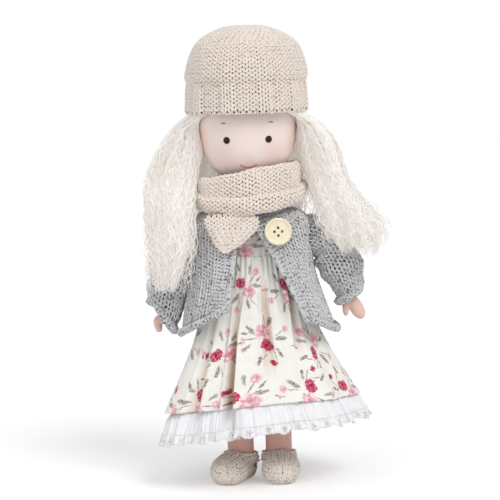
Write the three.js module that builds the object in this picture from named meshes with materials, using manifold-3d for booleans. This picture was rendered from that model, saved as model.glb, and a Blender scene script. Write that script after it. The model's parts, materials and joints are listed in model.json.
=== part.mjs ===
// A dressed rag doll, built as the real one comes apart: stuffed cloth head, body, arms and legs on
// thread joints, a wig, a knitted hat, scarf, cardigan and slippers, and a gathered dress over a petticoat.
// Millimetres, +Z up. The doll faces -Y, so its left hand is on +X.
import * as THREE from "three";
import { mergeVertices } from "three/addons/utils/BufferGeometryUtils.js";
import Module from "manifold-3d";

const wasm = await Module();
wasm.setup();

// Clearances and cloth
const GAP = 0.3; // between pieces that touch
const SKIN = 1.2; // cotton jersey with the first layer of wool behind it
const COTTON = 1.0; // dress cloth
const GAUZE = 0.8; // petticoat cloth
const KNIT = 2.4; // cardigan wool
const HAT_KNIT = 2.7; // hat wool, a heavier gauge
const SLIPPER_KNIT = 3.0;
const WIG_KNIT = 1.5; // net that the hair is sewn to

// Body and head, as half widths (across) and half depths (front to back) at heights
const CROTCH_Z = 116;
const SEAT = { z: 121, across: 22, deep: 15 };
const HIPS = { z: 128, across: 25, deep: 17.5 };
const WAIST = { z: 152, across: 24.5, deep: 17 };
const SHOULDER = { z: 163, across: 29, deep: 16.5 };
const COLLAR = { z: 174, across: 22, deep: 14 };
const NECK = { foot: 182, top: 197, radius: 12 };
const HEAD = {
  neckEnd: { up: 0, across: 10.6, deep: 10.4 },
  chin: { up: 3, across: 14.5, deep: 14 },
  jaw: { up: 7, across: 19, deep: 18.5 },
  mouth: { up: 13, across: 24.5, deep: 24 },
  cheeks: { up: 22, across: 29, deep: 28.5 },
  eyes: { up: 32, across: 31.4, deep: 30.5 },
  temples: { up: 44, across: 32, deep: 31 },
  forehead: { up: 56, across: 31, deep: 30.5 },
  hairline: { up: 69, across: 27.5, deep: 27.5 },
  crown: { up: 81, across: 19.5, deep: 20 },
  cap: { up: 88, across: 9.5, deep: 10 },
  top: { up: 90, across: 2, deep: 2 },
};
const STUFFING_HOLE = 8; // radius of the opening that each skin was filled through
const LIMB_HOLE = 4;
const HEAD_SIDES = 18;

// Face
const EYE = { apart: 27, up: 30.9, radius: 2.1, dome: 1.1 };
const BROW = { apart: 30.4, up: 41.4, long: 2.9, rise: 0.5 };
const MOUTH = { up: 15.2, wide: 11.4, sag: 2.2 };
const FACE_THREAD = 0.35; // radius of the embroidery thread

// Thread joints
const THREAD = { radius: 0.6, knot: 1.1, bore: 0.95 };
const NECK_THREAD = 0.7;

// Arms: out and drop are measured from the shoulder joint
const ARM = { rootRadius: 8, upperRadius: 7, wristRadius: 4.4 };
const HAND = { across: 6.2, deep: 4.6, thumbRadius: 2.9 };
const LEFT_ARM = {
  side: 1,
  tip: { out: 43, drop: 55.5 },
  thumb: { out: 33.5, drop: 52.5 },
  puff: 14,
  cuff: { radius: 8, out: 34.8, drop: 40.5, faceOut: 0.5 },
};
const RIGHT_ARM = {
  side: -1,
  tip: { out: 34.5, drop: 62 },
  thumb: { out: 30.5, drop: 59 },
  puff: 13.6,
  cuff: { radius: 12.6, out: 30.6, drop: 53.2, faceOut: 0.86 },
};

// Legs and slippers
const HIP_Z = 107;
const LEG = { spacing: 25.5, topRadius: 9, ankleRadius: 8.7, ankleZ: 20 };
const STANCE = { x: 1.75, y: 5 }; // the legs stand a little to the doll's left, and behind its middle
const FOOT = { heelRadius: 7.4, toeRadius: 10.1, toeAhead: 15.5, instep: 15, toeHeight: 13.4, pressed: 1.8 };
const SLIPPER = { mouthZ: 18.5 };
const LEFT_TURN_OUT = 3; // degrees that each foot points outwards
const RIGHT_TURN_OUT = 30;

// Wig, hair and hat
const WIG_EDGE = { front: 52, back: 20 }; // above the chin
const HAT = {
  rim: 40,
  rimUp: 50,
  rise: 39.6,
  riseUp: 63,
  bulge: 40.6,
  bulgeUp: 74,
  shoulder: 33.5,
  shoulderUp: 92.5,
  topUp: 103.2,
};
// Middles and half sizes of each mass of hair, from the wig down to the ends
const HAIR_LEFT = {
  roots: { x: 36, y: 5, z: 244, across: 5.5, deep: 14 },
  cheek: { x: 44, y: 3, z: 224, across: 12.5, deep: 16 },
  scarf: { x: 51, y: -2, z: 202, across: 12.5, deep: 14 },
  shoulder: { x: 58, y: -9, z: 186, across: 14.5, deep: 11.5 },
  upperArm: { x: 66, y: -16, z: 172, across: 16.5, deep: 9 },
  elbow: { x: 69, y: -20.5, z: 160, across: 11.5, deep: 6 },
  ends: { x: 68, y: -20.5, z: 150, across: 3, deep: 3 },
};
const HAIR_RIGHT = {
  roots: { x: -36, y: 5, z: 244, across: 5.5, deep: 14 },
  cheek: { x: -43, y: 2, z: 224, across: 13.5, deep: 16 },
  scarf: { x: -50.5, y: -4, z: 203, across: 16.5, deep: 15 },
  shoulder: { x: -52.5, y: -18, z: 184, across: 15, deep: 13 },
  upperArm: { x: -53, y: -29, z: 163, across: 12.5, deep: 9 },
  elbow: { x: -54.5, y: -31, z: 146, across: 8.5, deep: 7 },
  ends: { x: -55.5, y: -30, z: 134, across: 3, deep: 3 },
};
const HAIR_BACK = {
  roots: { x: 0, y: 34, z: 243, across: 22, deep: 3.5 },
  nape: { x: 0, y: 37.5, z: 224, across: 33, deep: 6 },
  scarf: { x: 0, y: 41.5, z: 206, across: 36, deep: 5.8 },
  shoulders: { x: 0, y: 42, z: 186, across: 36, deep: 5.8 },
  back: { x: 0, y: 40.5, z: 167, across: 32, deep: 5.2 },
  ends: { x: 0, y: 40, z: 153, across: 24, deep: 3.5 },
};

// Scarf
const SCARF = { across: 32, deep: 30.5, thick: 7.4 };
const UPPER_WRAP = { z: 197.4, tall: 24, tilt: 5 };
const LOWER_WRAP = { z: 189, tall: 13, dip: 3.5, spread: 1.2 };
const TAIL = { thick: 4.6, round: 1, topZ: 178.4, wide: 36, long: 23.6, tipX: -22, middleX: -12.4 };

// Dress and petticoat
const SKIRT = {
  topZ: 152,
  hemZ: 49,
  tilt: 6.2, // the hem rises to the doll's left by this much, and drops to its right
  hemAcross: 65,
  hemDeep: 52,
  drift: 4.3, // the hem hangs this far to the doll's left
  ease: 2.2,
  folds: 7,
  fold: 2.6,
  short: 0.037, // share of its length by which it stops above the form's foot
  frontShort: 0.054, // and stops more in front
};
// Pleats down the front: the place round the skirt, half width and softness of the walls in degrees
const PLEATS = [
  { at: 221, half: 4.5, edge: 2.4, deep: 3, lip: 1 },
  { at: 251, half: 5.5, edge: 2.4, deep: 8, lip: 2 },
];
const PLEAT_FALL = { from: 0.1, full: 0.8, ease: 0.65 }; // shares of the skirt's length; eases below the hem
const PETTICOAT = { hemZ: 34.5, topShare: 0.06, frontShort: 0.049, wider: 1.6 }; // its pleats, in degrees
const LACE = { tall: 6.5, wall: 0.8 };

// Cardigan
const CARDIGAN = { neckZ: 184, neckAcross: 19, neckDeep: 17.5, sideEase: 12, frontEase: 12, squareness: 2.8 };
const CARDIGAN_HEM = { z: 101, across: 50.5, deep: 40.5, drift: 4 };
const ARMHOLE = 14.4;
const LEFT_FRONT = { topX: -4, middleX: 20, hemX: 38, hemRise: 11.5 };
const RIGHT_FRONT = { topX: -8, middleX: -12.5, hemX: -20, hemRise: 19.5 };
const BUTTON = {
  x: 17.2,
  z: 168.4,
  sunk: 0.8, // into the wool, which gives under the thread
  radius: 8.9,
  thick: 2.6,
  rim: 0.6,
  rimWide: 2,
  bevel: 0.6,
  holeRadius: 0.9,
  holeOut: 2.5,
  shank: 2.4,
};

const CHIN_Z = NECK.top + GAP;
const SEAM_X = SHOULDER.across + CARDIGAN.sideEase; // plane of the sleeve seams
const ARM_ROOT_X = SHOULDER.across + GAP;

// Colours seen on the doll
const skin = { color: 0xe9c6b6, roughness: 0.75 };
const wool = { color: 0xe6ddcf, roughness: 0.95 };
const hairColour = { color: 0xf0eae0, roughness: 0.8 };
const ivoryKnit = { color: 0xe2d3c2, roughness: 0.95 };
const greyKnit = { color: 0x9d9ea1, roughness: 0.95 };
const oatKnit = { color: 0xcbbfae, roughness: 0.95 };
const floralCotton = { color: 0xf3f0e8, roughness: 0.85 };
const whiteGauze = { color: 0xf4f3f6, roughness: 0.85 };
const buttonCream = { color: 0xf2e6bd, roughness: 0.45 };
const darkBrown = { color: 0x24140f, roughness: 0.35 };
const mouthThread = { color: 0xc4686c, roughness: 0.8 };
const strongThread = { color: 0xd8cdbb, roughness: 0.8 };

// Geometry from rings of points, and solids

const UP = new THREE.Vector3(0, 0, 1);
const SIDE_TO_SIDE = new THREE.Vector3(1, 0, 0);
const BACK = new THREE.Vector3(0, 1, 0);
const lerp = THREE.MathUtils.lerp;
const degrees = THREE.MathUtils.degToRad;

function power(value, exponent) {
  return Math.sign(value) * Math.pow(Math.abs(value), exponent);
}

// A closed ring round the direction it faces, an ellipse or, above squareness 2, a rounder rectangle.
function ring(centre, facing, across, deep, count, squareness = 2) {
  const first = new THREE.Vector3().crossVectors(BACK, facing).normalize();
  const second = new THREE.Vector3().crossVectors(facing, first).normalize();
  return Array.from({ length: count }, (_, i) => {
    const angle = (2 * Math.PI * i) / count;
    return centre
      .clone()
      .addScaledVector(first, across * power(Math.cos(angle), 2 / squareness))
      .addScaledVector(second, deep * power(Math.sin(angle), 2 / squareness));
  });
}

function geometryOf(points, triangles) {
  const geometry = new THREE.BufferGeometry().setFromPoints(points);
  geometry.setIndex(triangles.flat());
  return geometry;
}

function ringFaces(rings, closed) {
  const count = rings[0].length;
  const faces = [];
  const last = closed ? rings.length : rings.length - 1;
  for (let k = 0; k < last; k++) {
    const here = k * count;
    const next = ((k + 1) % rings.length) * count;
    for (let i = 0; i < count; i++) {
      const j = (i + 1) % count;
      faces.push([here + i, here + j, next + j], [here + i, next + j, next + i]);
    }
  }
  return faces;
}

// A solid through the rings, closed at both ends. The rings run the way they face.
function loft(rings) {
  const count = rings[0].length;
  const points = rings.flat();
  const faces = ringFaces(rings, false);
  const middle = (r) => r.reduce((sum, p) => sum.add(p), new THREE.Vector3()).divideScalar(count);
  const first = points.push(middle(rings[0])) - 1;
  const last = points.push(middle(rings[rings.length - 1])) - 1;
  const top = (rings.length - 1) * count;
  for (let i = 0; i < count; i++) {
    const j = (i + 1) % count;
    faces.push([first, j, i], [last, top + i, top + j]);
  }
  return geometryOf(points, faces);
}

// A tube with a wall: the outer rings run the way they face, and the inner ones match them.
function loftWall(outer, inner) {
  const rings = [...outer, ...[...inner].reverse()];
  return geometryOf(rings.flat(), ringFaces(rings, true));
}

// A closed loop of rings, such as a wrap of scarf.
function loftLoop(rings) {
  return geometryOf(rings.flat(), ringFaces(rings, true));
}

// A piece of cloth: outer(u, v) and inner(u, v) are its two faces, u running anticlockwise and v up.
function sheet(outer, inner, columns, rows) {
  const points = [];
  for (const face of [outer, inner]) {
    for (let v = 0; v <= rows; v++) {
      for (let u = 0; u <= columns; u++) points.push(face(u / columns, v / rows));
    }
  }
  const side = (columns + 1) * (rows + 1);
  const out = (u, v) => v * (columns + 1) + u;
  const into = (u, v) => side + out(u, v);
  const faces = [];
  const quad = (a, b, c, d) => faces.push([a, b, c], [a, c, d]);
  for (let v = 0; v < rows; v++) {
    for (let u = 0; u < columns; u++) {
      quad(out(u, v), out(u + 1, v), out(u + 1, v + 1), out(u, v + 1));
      quad(into(u, v), into(u, v + 1), into(u + 1, v + 1), into(u + 1, v));
    }
    quad(out(0, v), out(0, v + 1), into(0, v + 1), into(0, v));
    quad(out(columns, v), into(columns, v), into(columns, v + 1), out(columns, v + 1));
  }
  for (let u = 0; u < columns; u++) {
    quad(out(u, 0), into(u, 0), into(u + 1, 0), out(u + 1, 0));
    quad(out(u, rows), out(u + 1, rows), into(u + 1, rows), into(u, rows));
  }
  return geometryOf(points, faces);
}

function solid(geometry) {
  const plain = geometry.clone();
  plain.deleteAttribute("normal");
  plain.deleteAttribute("uv");
  const merged = mergeVertices(plain);
  return new wasm.Manifold(
    new wasm.Mesh({
      numProp: 3,
      vertProperties: merged.attributes.position.array,
      triVerts: new Uint32Array(merged.index.array),
    }),
  );
}

function geometryOfSolid(made) {
  const mesh = made.getMesh();
  const geometry = new THREE.BufferGeometry();
  geometry.setAttribute("position", new THREE.BufferAttribute(mesh.vertProperties, 3));
  geometry.setIndex(new THREE.BufferAttribute(mesh.triVerts, 1));
  return geometry;
}

const doll = new THREE.Group();

function add(name, form, look) {
  const geometry = form.isBufferGeometry ? form : geometryOfSolid(form);
  const mesh = new THREE.Mesh(geometry, new THREE.MeshStandardMaterial({ metalness: 0, ...look }));
  mesh.name = name;
  doll.add(mesh);
}

// A smooth run through stations of { at: Vector3, across, deep }, as rings that face along the run.
function limbRings(stations, count, steps, facings) {
  const line = new THREE.CatmullRomCurve3(stations.map((s) => s.at));
  const size = new THREE.CatmullRomCurve3(stations.map((s) => new THREE.Vector3(s.across, s.deep, 0)));
  return Array.from({ length: steps + 1 }, (_, i) => {
    const t = i / steps;
    const facing = facings ? facings(t, line) : line.getTangent(t);
    const { x, y } = size.getPoint(t);
    return ring(line.getPoint(t), facing, x, y, count);
  });
}

function grown(stations, by) {
  return stations.map((s) => ({ ...s, across: s.across + by, deep: s.deep + by }));
}

// A cylinder along X through the height of a joint.
function crossBar(radius, long, y, z, sides = 12) {
  const bar = new THREE.CylinderGeometry(radius, radius, long, sides);
  bar.rotateZ(Math.PI / 2).translate(0, y, z);
  return solid(bar);
}

function upright(radius, foot, top, x, y, sides = 16) {
  const post = new THREE.CylinderGeometry(radius, radius, top - foot, sides);
  post.rotateX(Math.PI / 2).translate(x, y, (foot + top) / 2);
  return solid(post);
}

function block(wide, deep, tall, x, y, z) {
  return solid(new THREE.BoxGeometry(wide, deep, tall).translate(x, y, z));
}

// The half width and half depth that rings have at their heights
function sizesOf(rings) {
  return rings.map((r) => {
    const box = new THREE.Box3().setFromPoints(r);
    return { z: r[0].z, across: (box.max.x - box.min.x) / 2, deep: (box.max.y - box.min.y) / 2 };
  });
}

// Half width and half depth between stations at heights, straight from one to the next
function between(stations, z) {
  const above = stations.findIndex((s) => s.z >= z);
  if (above === 0) return stations[0];
  if (above < 0) return stations[stations.length - 1];
  const low = stations[above - 1];
  const high = stations[above];
  const t = (z - low.z) / (high.z - low.z);
  return { z, across: lerp(low.across, high.across, t), deep: lerp(low.deep, high.deep, t) };
}

// Body

const BODY = [
  { z: CROTCH_Z, across: SEAT.across / 2, deep: SEAT.deep / 2 },
  SEAT,
  HIPS,
  WAIST,
  SHOULDER,
  COLLAR,
  { z: NECK.foot, across: NECK.radius + 1, deep: NECK.radius },
  { z: (NECK.foot + NECK.top) / 2, across: NECK.radius, deep: NECK.radius - 0.5 },
  { z: NECK.top, across: NECK.radius, deep: NECK.radius - 0.5 },
];
const bodyStations = BODY.map((s) => ({ ...s, at: new THREE.Vector3(0, 0, s.z) }));

function bodyRings(inset, count, foot) {
  const rings = limbRings(grown(bodyStations, -inset), count, 10, () => UP);
  for (const p of rings[0]) p.z += foot;
  return rings;
}

const bodySizes = sizesOf(limbRings(bodyStations, 8, 60, () => UP));

// The body is cut flat where the arms meet it. Its hollow and filling stop short of that cut and the neck.
function shoulderCut(inset, top) {
  const foot = CROTCH_Z - HIP_Z;
  return block(2 * (SHOULDER.across - inset), 4 * SHOULDER.across, top - foot, 0, 0, (top + foot) / 2);
}
const bodyOuter = solid(loft(bodyRings(0, 14, 0))).intersect(shoulderCut(0, 2 * NECK.top));
const bodyHollow = solid(loft(bodyRings(SKIN, 10, SKIN))).intersect(shoulderCut(SKIN, NECK.top - SKIN));
const fillingInset = SKIN + GAP;
const bodyFilling = solid(loft(bodyRings(fillingInset, 10, fillingInset))).intersect(
  shoulderCut(fillingInset, NECK.top - fillingInset),
);
const hipGap = LEG.spacing - 2 * (LEG.topRadius + GAP);
const tabFoot = HIP_Z - LEG.topRadius;
const tabMiddle = (SEAT.z + tabFoot) / 2;
const hipTab = block(hipGap, 2 * LEG.topRadius, SEAT.z - tabFoot, STANCE.x, STANCE.y, tabMiddle);
const shoulderBore = crossBar(THREAD.bore, 6 * SHOULDER.across, 0, SHOULDER.z);
const hipBore = crossBar(THREAD.bore, 6 * SHOULDER.across, STANCE.y, HIP_Z);
const neckHole = upright(STUFFING_HOLE, NECK.foot, NECK.top + SKIN, 0, 0);
add(
  "torso_skin",
  bodyOuter.add(hipTab).subtract(bodyHollow).subtract(neckHole).subtract(shoulderBore).subtract(hipBore),
  skin,
);
add("torso_stuffing", bodyFilling.subtract(shoulderBore), wool);

// Head

// The crown of an inset form drops with the inset, and its neck end stays open.
function headRings(inset, count, steps = 10) {
  const stations = Object.values(HEAD).map((s) => ({
    at: new THREE.Vector3(0, 0, CHIN_Z + s.up - inset * (s.up / HEAD.top.up) ** 2),
    across: Math.max(s.across - inset, 1),
    deep: Math.max(s.deep - inset, 1),
  }));
  return limbRings(stations, count, steps, () => UP);
}
const headSizes = sizesOf(headRings(0, 8, 60));

const headHollow = solid(loft(headRings(SKIN, 12)));
const headHole = upright(STUFFING_HOLE, CHIN_Z - SKIN, CHIN_Z + 4 * SKIN, 0, 0);
add("head_skin", solid(loft(headRings(0, HEAD_SIDES))).subtract(headHollow).subtract(headHole), skin);
add("head_stuffing", solid(loft(headRings(SKIN + GAP, 12))), wool);

const tieRing = new THREE.TorusGeometry(NECK.radius + GAP + NECK_THREAD, NECK_THREAD, 6, 16);
add("neck_tie", tieRing.translate(0, 0, NECK.top - 4 * NECK_THREAD), strongThread);

// A point on the face at a place across and a height above the chin, lifted clear of the skin.
function onFace(x, up, lift) {
  const { across, deep } = between(headSizes, CHIN_Z + up);
  const y = -deep * Math.sqrt(1 - (x / across) ** 2);
  const out = new THREE.Vector3(x / across ** 2, y / deep ** 2, 0).normalize();
  return { at: new THREE.Vector3(x, y, CHIN_Z + up).addScaledVector(out, lift), out };
}

const EYE_LIFT = GAP + 0.25; // the skin bulges a little behind a flat eye
for (const [name, side] of [["left_eye", 1], ["right_eye", -1]]) {
  const dome = [0, 30, 60].map(degrees).map((a) => [EYE.radius * Math.cos(a), EYE.dome * Math.sin(a)]);
  const profile = [[0, 0], ...dome, [0, EYE.dome]].map(([r, h]) => new THREE.Vector2(r, h));
  const bead = new THREE.LatheGeometry(profile, 14);
  const { at, out } = onFace((side * EYE.apart) / 2, EYE.up, EYE_LIFT);
  bead.applyQuaternion(new THREE.Quaternion().setFromUnitVectors(BACK, out)).translate(at.x, at.y, at.z);
  add(name, mergeVertices(bead), darkBrown);
}

function stitch(points, radius) {
  const corners = [0, 60, 120, 180, 240, 300].map(degrees);
  const section = new THREE.Shape(
    corners.map((a) => new THREE.Vector2(radius * Math.cos(a), radius * Math.sin(a))),
  );
  const extrudePath = new THREE.CatmullRomCurve3(points);
  return new THREE.ExtrudeGeometry(section, { steps: 2 * points.length, extrudePath, bevelEnabled: false });
}

const STITCH_LIFT = FACE_THREAD + 2 * GAP;
const mouthPoints = [-1, -0.5, 0, 0.5, 1].map(
  (s) => onFace((s * MOUTH.wide) / 2, MOUTH.up - MOUTH.sag * (1 - s * s), STITCH_LIFT).at,
);
add("mouth_stitch", stitch(mouthPoints, FACE_THREAD), mouthThread);
for (const [name, side] of [["left_brow_stitch", 1], ["right_brow_stitch", -1]]) {
  const points = [-0.5, 0, 0.5].map(
    (s) => onFace(side * (BROW.apart / 2 + s * BROW.long), BROW.up - BROW.rise * 4 * s * s, STITCH_LIFT).at,
  );
  add(name, stitch(points, FACE_THREAD), darkBrown);
}

// Wig net over the head, open round the face

function wigRings(lift, below = 0) {
  const rows = 6;
  return Array.from({ length: rows + 1 }, (_, k) => {
    const climb = Math.sin((Math.PI * k) / (2 * rows));
    return Array.from({ length: HEAD_SIDES }, (_, i) => {
      const angle = (2 * Math.PI * i) / HEAD_SIDES;
      const edge = lerp(WIG_EDGE.front, WIG_EDGE.back, (1 + Math.sin(angle)) / 2);
      const up = lerp(edge - below, HEAD.top.up, climb);
      const { across, deep } = between(headSizes, CHIN_Z + up);
      return new THREE.Vector3(
        (across + lift) * Math.cos(angle),
        (deep + lift) * Math.sin(angle),
        CHIN_Z + up + lift * climb * climb,
      );
    });
  });
}
const WIG_LIFT = 3 * GAP; // the head's curve rises a little between the net's threads
add("wig_net", solid(loftWall(wigRings(WIG_LIFT + WIG_KNIT), wigRings(WIG_LIFT))), hairColour);

// Hat

const hatInner = WIG_LIFT + WIG_KNIT + GAP + between(headSizes, CHIN_Z + HAT.rimUp).across;
function hatProfile() {
  const outer = new THREE.SplineCurve([
    new THREE.Vector2(Math.max(HAT.rim, hatInner + HAT_KNIT), HAT.rimUp),
    new THREE.Vector2(HAT.rise, HAT.riseUp),
    new THREE.Vector2(HAT.bulge, HAT.bulgeUp),
    new THREE.Vector2(HAT.shoulder, HAT.shoulderUp),
    new THREE.Vector2(HAT.shoulder / 2, HAT.topUp - 0.12 * (HAT.topUp - HAT.shoulderUp)),
    new THREE.Vector2(0, HAT.topUp),
  ]).getPoints(8);
  const inner = outer.map((p) => {
    const up = Math.min(p.y, HAT.topUp - HAT_KNIT - (HAT.topUp - p.y) * 0.2);
    return new THREE.Vector2(Math.max(p.x - HAT_KNIT, 0), up);
  });
  return [...outer, ...inner.reverse()];
}
const hat = new THREE.LatheGeometry([...hatProfile(), hatProfile()[0]], HEAD_SIDES);
hat.rotateX(Math.PI / 2).translate(0, 0, CHIN_Z);
add("hat", solid(hat), ivoryKnit);

// Threads that joint the limbs: a cord along X with a knot just outside each limb

function jointThread(fromX, toX, y, z) {
  const half = (toX - fromX) / 2 + THREAD.knot;
  const neck = 180 - THREE.MathUtils.radToDeg(Math.asin(THREAD.radius / THREAD.knot));
  const ball = [neck, 120, 90, 60].map(degrees);
  const top = ball.map((a) => [THREAD.knot * Math.sin(a), half + THREAD.knot * Math.cos(a)]);
  top.push([0, half + THREAD.knot]);
  const bottom = top.map(([r, h]) => [r, -h]).reverse();
  const profile = [...bottom, ...top].map(([r, h]) => new THREE.Vector2(r, h));
  const cord = new THREE.LatheGeometry(profile, 8);
  return solid(cord.rotateZ(-Math.PI / 2).translate((fromX + toX) / 2, y, z));
}

// Arms

function offShoulder(arm, out, drop) {
  return new THREE.Vector3(arm.side * (SHOULDER.across + out), 0, SHOULDER.z - drop);
}

// Places that an arm and its sleeve share, from the shoulder bend to the wrist
function armLine(arm) {
  const { cuff } = arm;
  return {
    bend: offShoulder(arm, CARDIGAN.sideEase + 10, 6),
    elbow: offShoulder(arm, lerp(CARDIGAN.sideEase, cuff.out, 0.62) + 4, cuff.drop * 0.5),
    wrist: offShoulder(arm, cuff.out, cuff.drop * 0.86),
    cuff: offShoulder(arm, cuff.out, cuff.drop),
    tip: offShoulder(arm, arm.tip.out, arm.tip.drop),
  };
}

function armStations(arm, inset) {
  const line = armLine(arm);
  const palm = line.cuff.clone().lerp(line.tip, 0.5);
  const bend = line.bend.clone().lerp(offShoulder(arm, CARDIGAN.sideEase, 2 * GAP), 0.15);
  return grown(
    [
      { at: offShoulder(arm, GAP, 0), across: ARM.rootRadius, deep: ARM.rootRadius },
      { at: offShoulder(arm, CARDIGAN.sideEase - GAP, 0), across: ARM.rootRadius, deep: ARM.rootRadius },
      { at: bend, across: ARM.upperRadius, deep: ARM.upperRadius },
      { at: line.elbow, across: ARM.upperRadius, deep: ARM.upperRadius },
      { at: line.cuff, across: ARM.wristRadius, deep: ARM.wristRadius },
      { at: palm, across: HAND.across, deep: HAND.deep },
      { at: line.tip, across: HAND.across / 2, deep: HAND.deep / 2 },
    ],
    -inset,
  );
}

function capsule(from, to, radius) {
  const long = from.distanceTo(to);
  const shape = new THREE.CapsuleGeometry(radius, long, 3, 8);
  const turn = new THREE.Quaternion().setFromUnitVectors(BACK, to.clone().sub(from).normalize());
  const middle = from.clone().lerp(to, 0.5);
  return solid(shape.applyQuaternion(turn).translate(middle.x, middle.y, middle.z));
}

// All the space outside a plane across the shoulder, on an arm's side
function outsideOf(arm, x) {
  const size = 8 * SHOULDER.across;
  return block(size, size, size, arm.side * (x + size / 2), 0, SHOULDER.z);
}

function armSolid(arm, inset, sides) {
  const stations = armStations(arm, inset);
  stations[0].at = stations[0].at.clone();
  stations[0].at.x -= arm.side * inset;
  return solid(loft(limbRings(stations, sides, 10)));
}

function thumb(arm) {
  const { cuff, tip } = armLine(arm);
  const forward = new THREE.Vector3(0, -HAND.deep / 2, 0);
  const end = offShoulder(arm, arm.thumb.out, arm.thumb.drop);
  return capsule(cuff.lerp(tip, 0.4).add(forward), end.add(forward), HAND.thumbRadius);
}

for (const [word, arm] of [["left", LEFT_ARM], ["right", RIGHT_ARM]]) {
  const outer = armSolid(arm, 0, 10).add(thumb(arm));
  const hollow = armSolid(arm, SKIN, 8);
  const filling = armSolid(arm, SKIN + GAP, 8).intersect(outsideOf(arm, ARM_ROOT_X));
  add(`${word}_arm_skin`, outer.subtract(hollow).subtract(shoulderBore), skin);
  add(`${word}_arm_stuffing`, filling.subtract(shoulderBore), wool);
}
const knotReach = crossBar(THREAD.knot, 10 * SHOULDER.across, 0, SHOULDER.z);
const leftReach = armSolid(LEFT_ARM, 0, 10).intersect(knotReach).boundingBox().max[0] + GAP;
const rightReach = armSolid(RIGHT_ARM, 0, 10).intersect(knotReach).boundingBox().min[0] - GAP;
add("shoulder_thread", jointThread(rightReach, leftReach, 0, SHOULDER.z), strongThread);

// Legs and feet

const LEGS = [
  { word: "left", x: STANCE.x + LEG.spacing / 2, turn: degrees(LEFT_TURN_OUT) },
  { word: "right", x: STANCE.x - LEG.spacing / 2, turn: -degrees(RIGHT_TURN_OUT) },
];

function shank(inset, sides) {
  const domeRadius = LEG.topRadius - inset;
  const dome = [1, 0.75, 0.35].map((share) => ({
    z: HIP_Z + domeRadius * Math.sqrt(1 - share * share),
    radius: domeRadius * share,
  }));
  const rings = [
    { z: FOOT_Z + FOOT.instep * 0.35, radius: FOOT.heelRadius - inset },
    { z: LEG.ankleZ, radius: LEG.ankleRadius - inset },
    { z: (LEG.ankleZ + HIP_Z) / 2, radius: (LEG.ankleRadius + LEG.topRadius) / 2 - inset },
    ...dome,
  ];
  return solid(loft(rings.map((r) => ring(new THREE.Vector3(0, 0, r.z), UP, r.radius, r.radius, sides))));
}

// A foot lies along -Y from its heel, and swells towards the toe. Its round underside is pressed flat.
const FOOT_Z = SLIPPER_KNIT + GAP;
function footSolid(grow, sides) {
  const floor = FOOT_Z - grow;
  const heel = FOOT.heelRadius + grow;
  const toe = FOOT.toeRadius + grow;
  const instep = FOOT.instep + 2 * grow;
  const toeTop = FOOT.toeHeight + 2 * grow;
  const under = -FOOT.pressed;
  const rings = [
    { y: heel * 0.96, wide: heel * 0.42, low: instep * 0.24, high: instep * 0.66 },
    { y: heel * 0.8, wide: heel * 0.74, low: under, high: instep * 0.78 },
    { y: 0, wide: heel, low: under, high: instep },
    { y: -FOOT.toeAhead * 0.55, wide: (heel + toe) / 2, low: under, high: instep },
    { y: -FOOT.toeAhead, wide: toe, low: under, high: toeTop },
    { y: -FOOT.toeAhead - toe * 0.55, wide: toe * 0.8, low: under, high: toeTop * 0.86 },
    { y: -FOOT.toeAhead - toe * 0.93, wide: toe * 0.35, low: toeTop * 0.24, high: toeTop * 0.66 },
  ];
  const built = rings.map(({ y, wide, low, high }) =>
    Array.from({ length: sides }, (_, i) => {
      const angle = (2 * Math.PI * i) / sides;
      const x = wide * power(Math.cos(angle), 0.8);
      const up = (low + high) / 2 + ((high - low) / 2) * power(Math.sin(angle), 0.8);
      return new THREE.Vector3(x, y, floor + Math.max(0, up));
    }),
  );
  return solid(loft(built));
}

for (const leg of LEGS) {
  const turnOut = [0, 0, THREE.MathUtils.radToDeg(leg.turn)];
  const place = (made) => made.rotate(turnOut).translate([leg.x, STANCE.y, 0]);
  const outer = shank(0, 12).add(footSolid(0, 10));
  const hollow = shank(SKIN, 8).add(footSolid(-SKIN, 8));
  const filling = shank(SKIN + GAP, 8).add(footSolid(-SKIN - GAP, 8));
  const fillHole = upright(LIMB_HOLE, HIP_Z, HIP_Z + 2 * LEG.topRadius, 0, 0);
  add(`${leg.word}_leg_skin`, place(outer.subtract(hollow).subtract(fillHole)).subtract(hipBore), skin);
  add(`${leg.word}_leg_stuffing`, place(filling).subtract(hipBore), wool);
  const mouth = LEG.ankleRadius + GAP;
  const collar = upright(mouth + SLIPPER_KNIT, FOOT_Z, SLIPPER.mouthZ, 0, 0);
  const shell = footSolid(SLIPPER_KNIT + GAP, 12).add(collar);
  const ankleSpace = upright(mouth, FOOT_Z + FOOT.instep / 2, SLIPPER.mouthZ + SLIPPER_KNIT, 0, 0);
  const footSpace = footSolid(GAP, 10).add(ankleSpace);
  add(`${leg.word}_slipper`, place(shell.subtract(footSpace).subtract(shank(-GAP, 12))), oatKnit);
}
const hipReach = LEG.spacing / 2 + LEG.topRadius + GAP;
const hipThread = jointThread(STANCE.x - hipReach, STANCE.x + hipReach, STANCE.y, HIP_Z);
add("hip_thread", hipThread, strongThread);

// Dress: a bodice on the body, a gathered skirt below it, and a petticoat inside

const bodiceTopZ = NECK.foot - 3;
function bodiceRings(lift) {
  const rows = 5;
  return Array.from({ length: rows + 1 }, (_, k) => {
    const z = lerp(SKIRT.topZ + GAP, bodiceTopZ, k / rows);
    const size = between(bodySizes, z);
    return ring(new THREE.Vector3(0, 0, z), UP, size.across + lift, size.deep + lift, 14);
  });
}
const BODICE_LIFT = 3 * GAP;
const armholes = crossBar(ARM.rootRadius + GAP, 6 * SHOULDER.across, 0, SHOULDER.z, 16);
const bodice = solid(loftWall(bodiceRings(BODICE_LIFT + COTTON), bodiceRings(BODICE_LIFT)));
add("dress_bodice", bodice.subtract(armholes), floralCotton);

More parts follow.
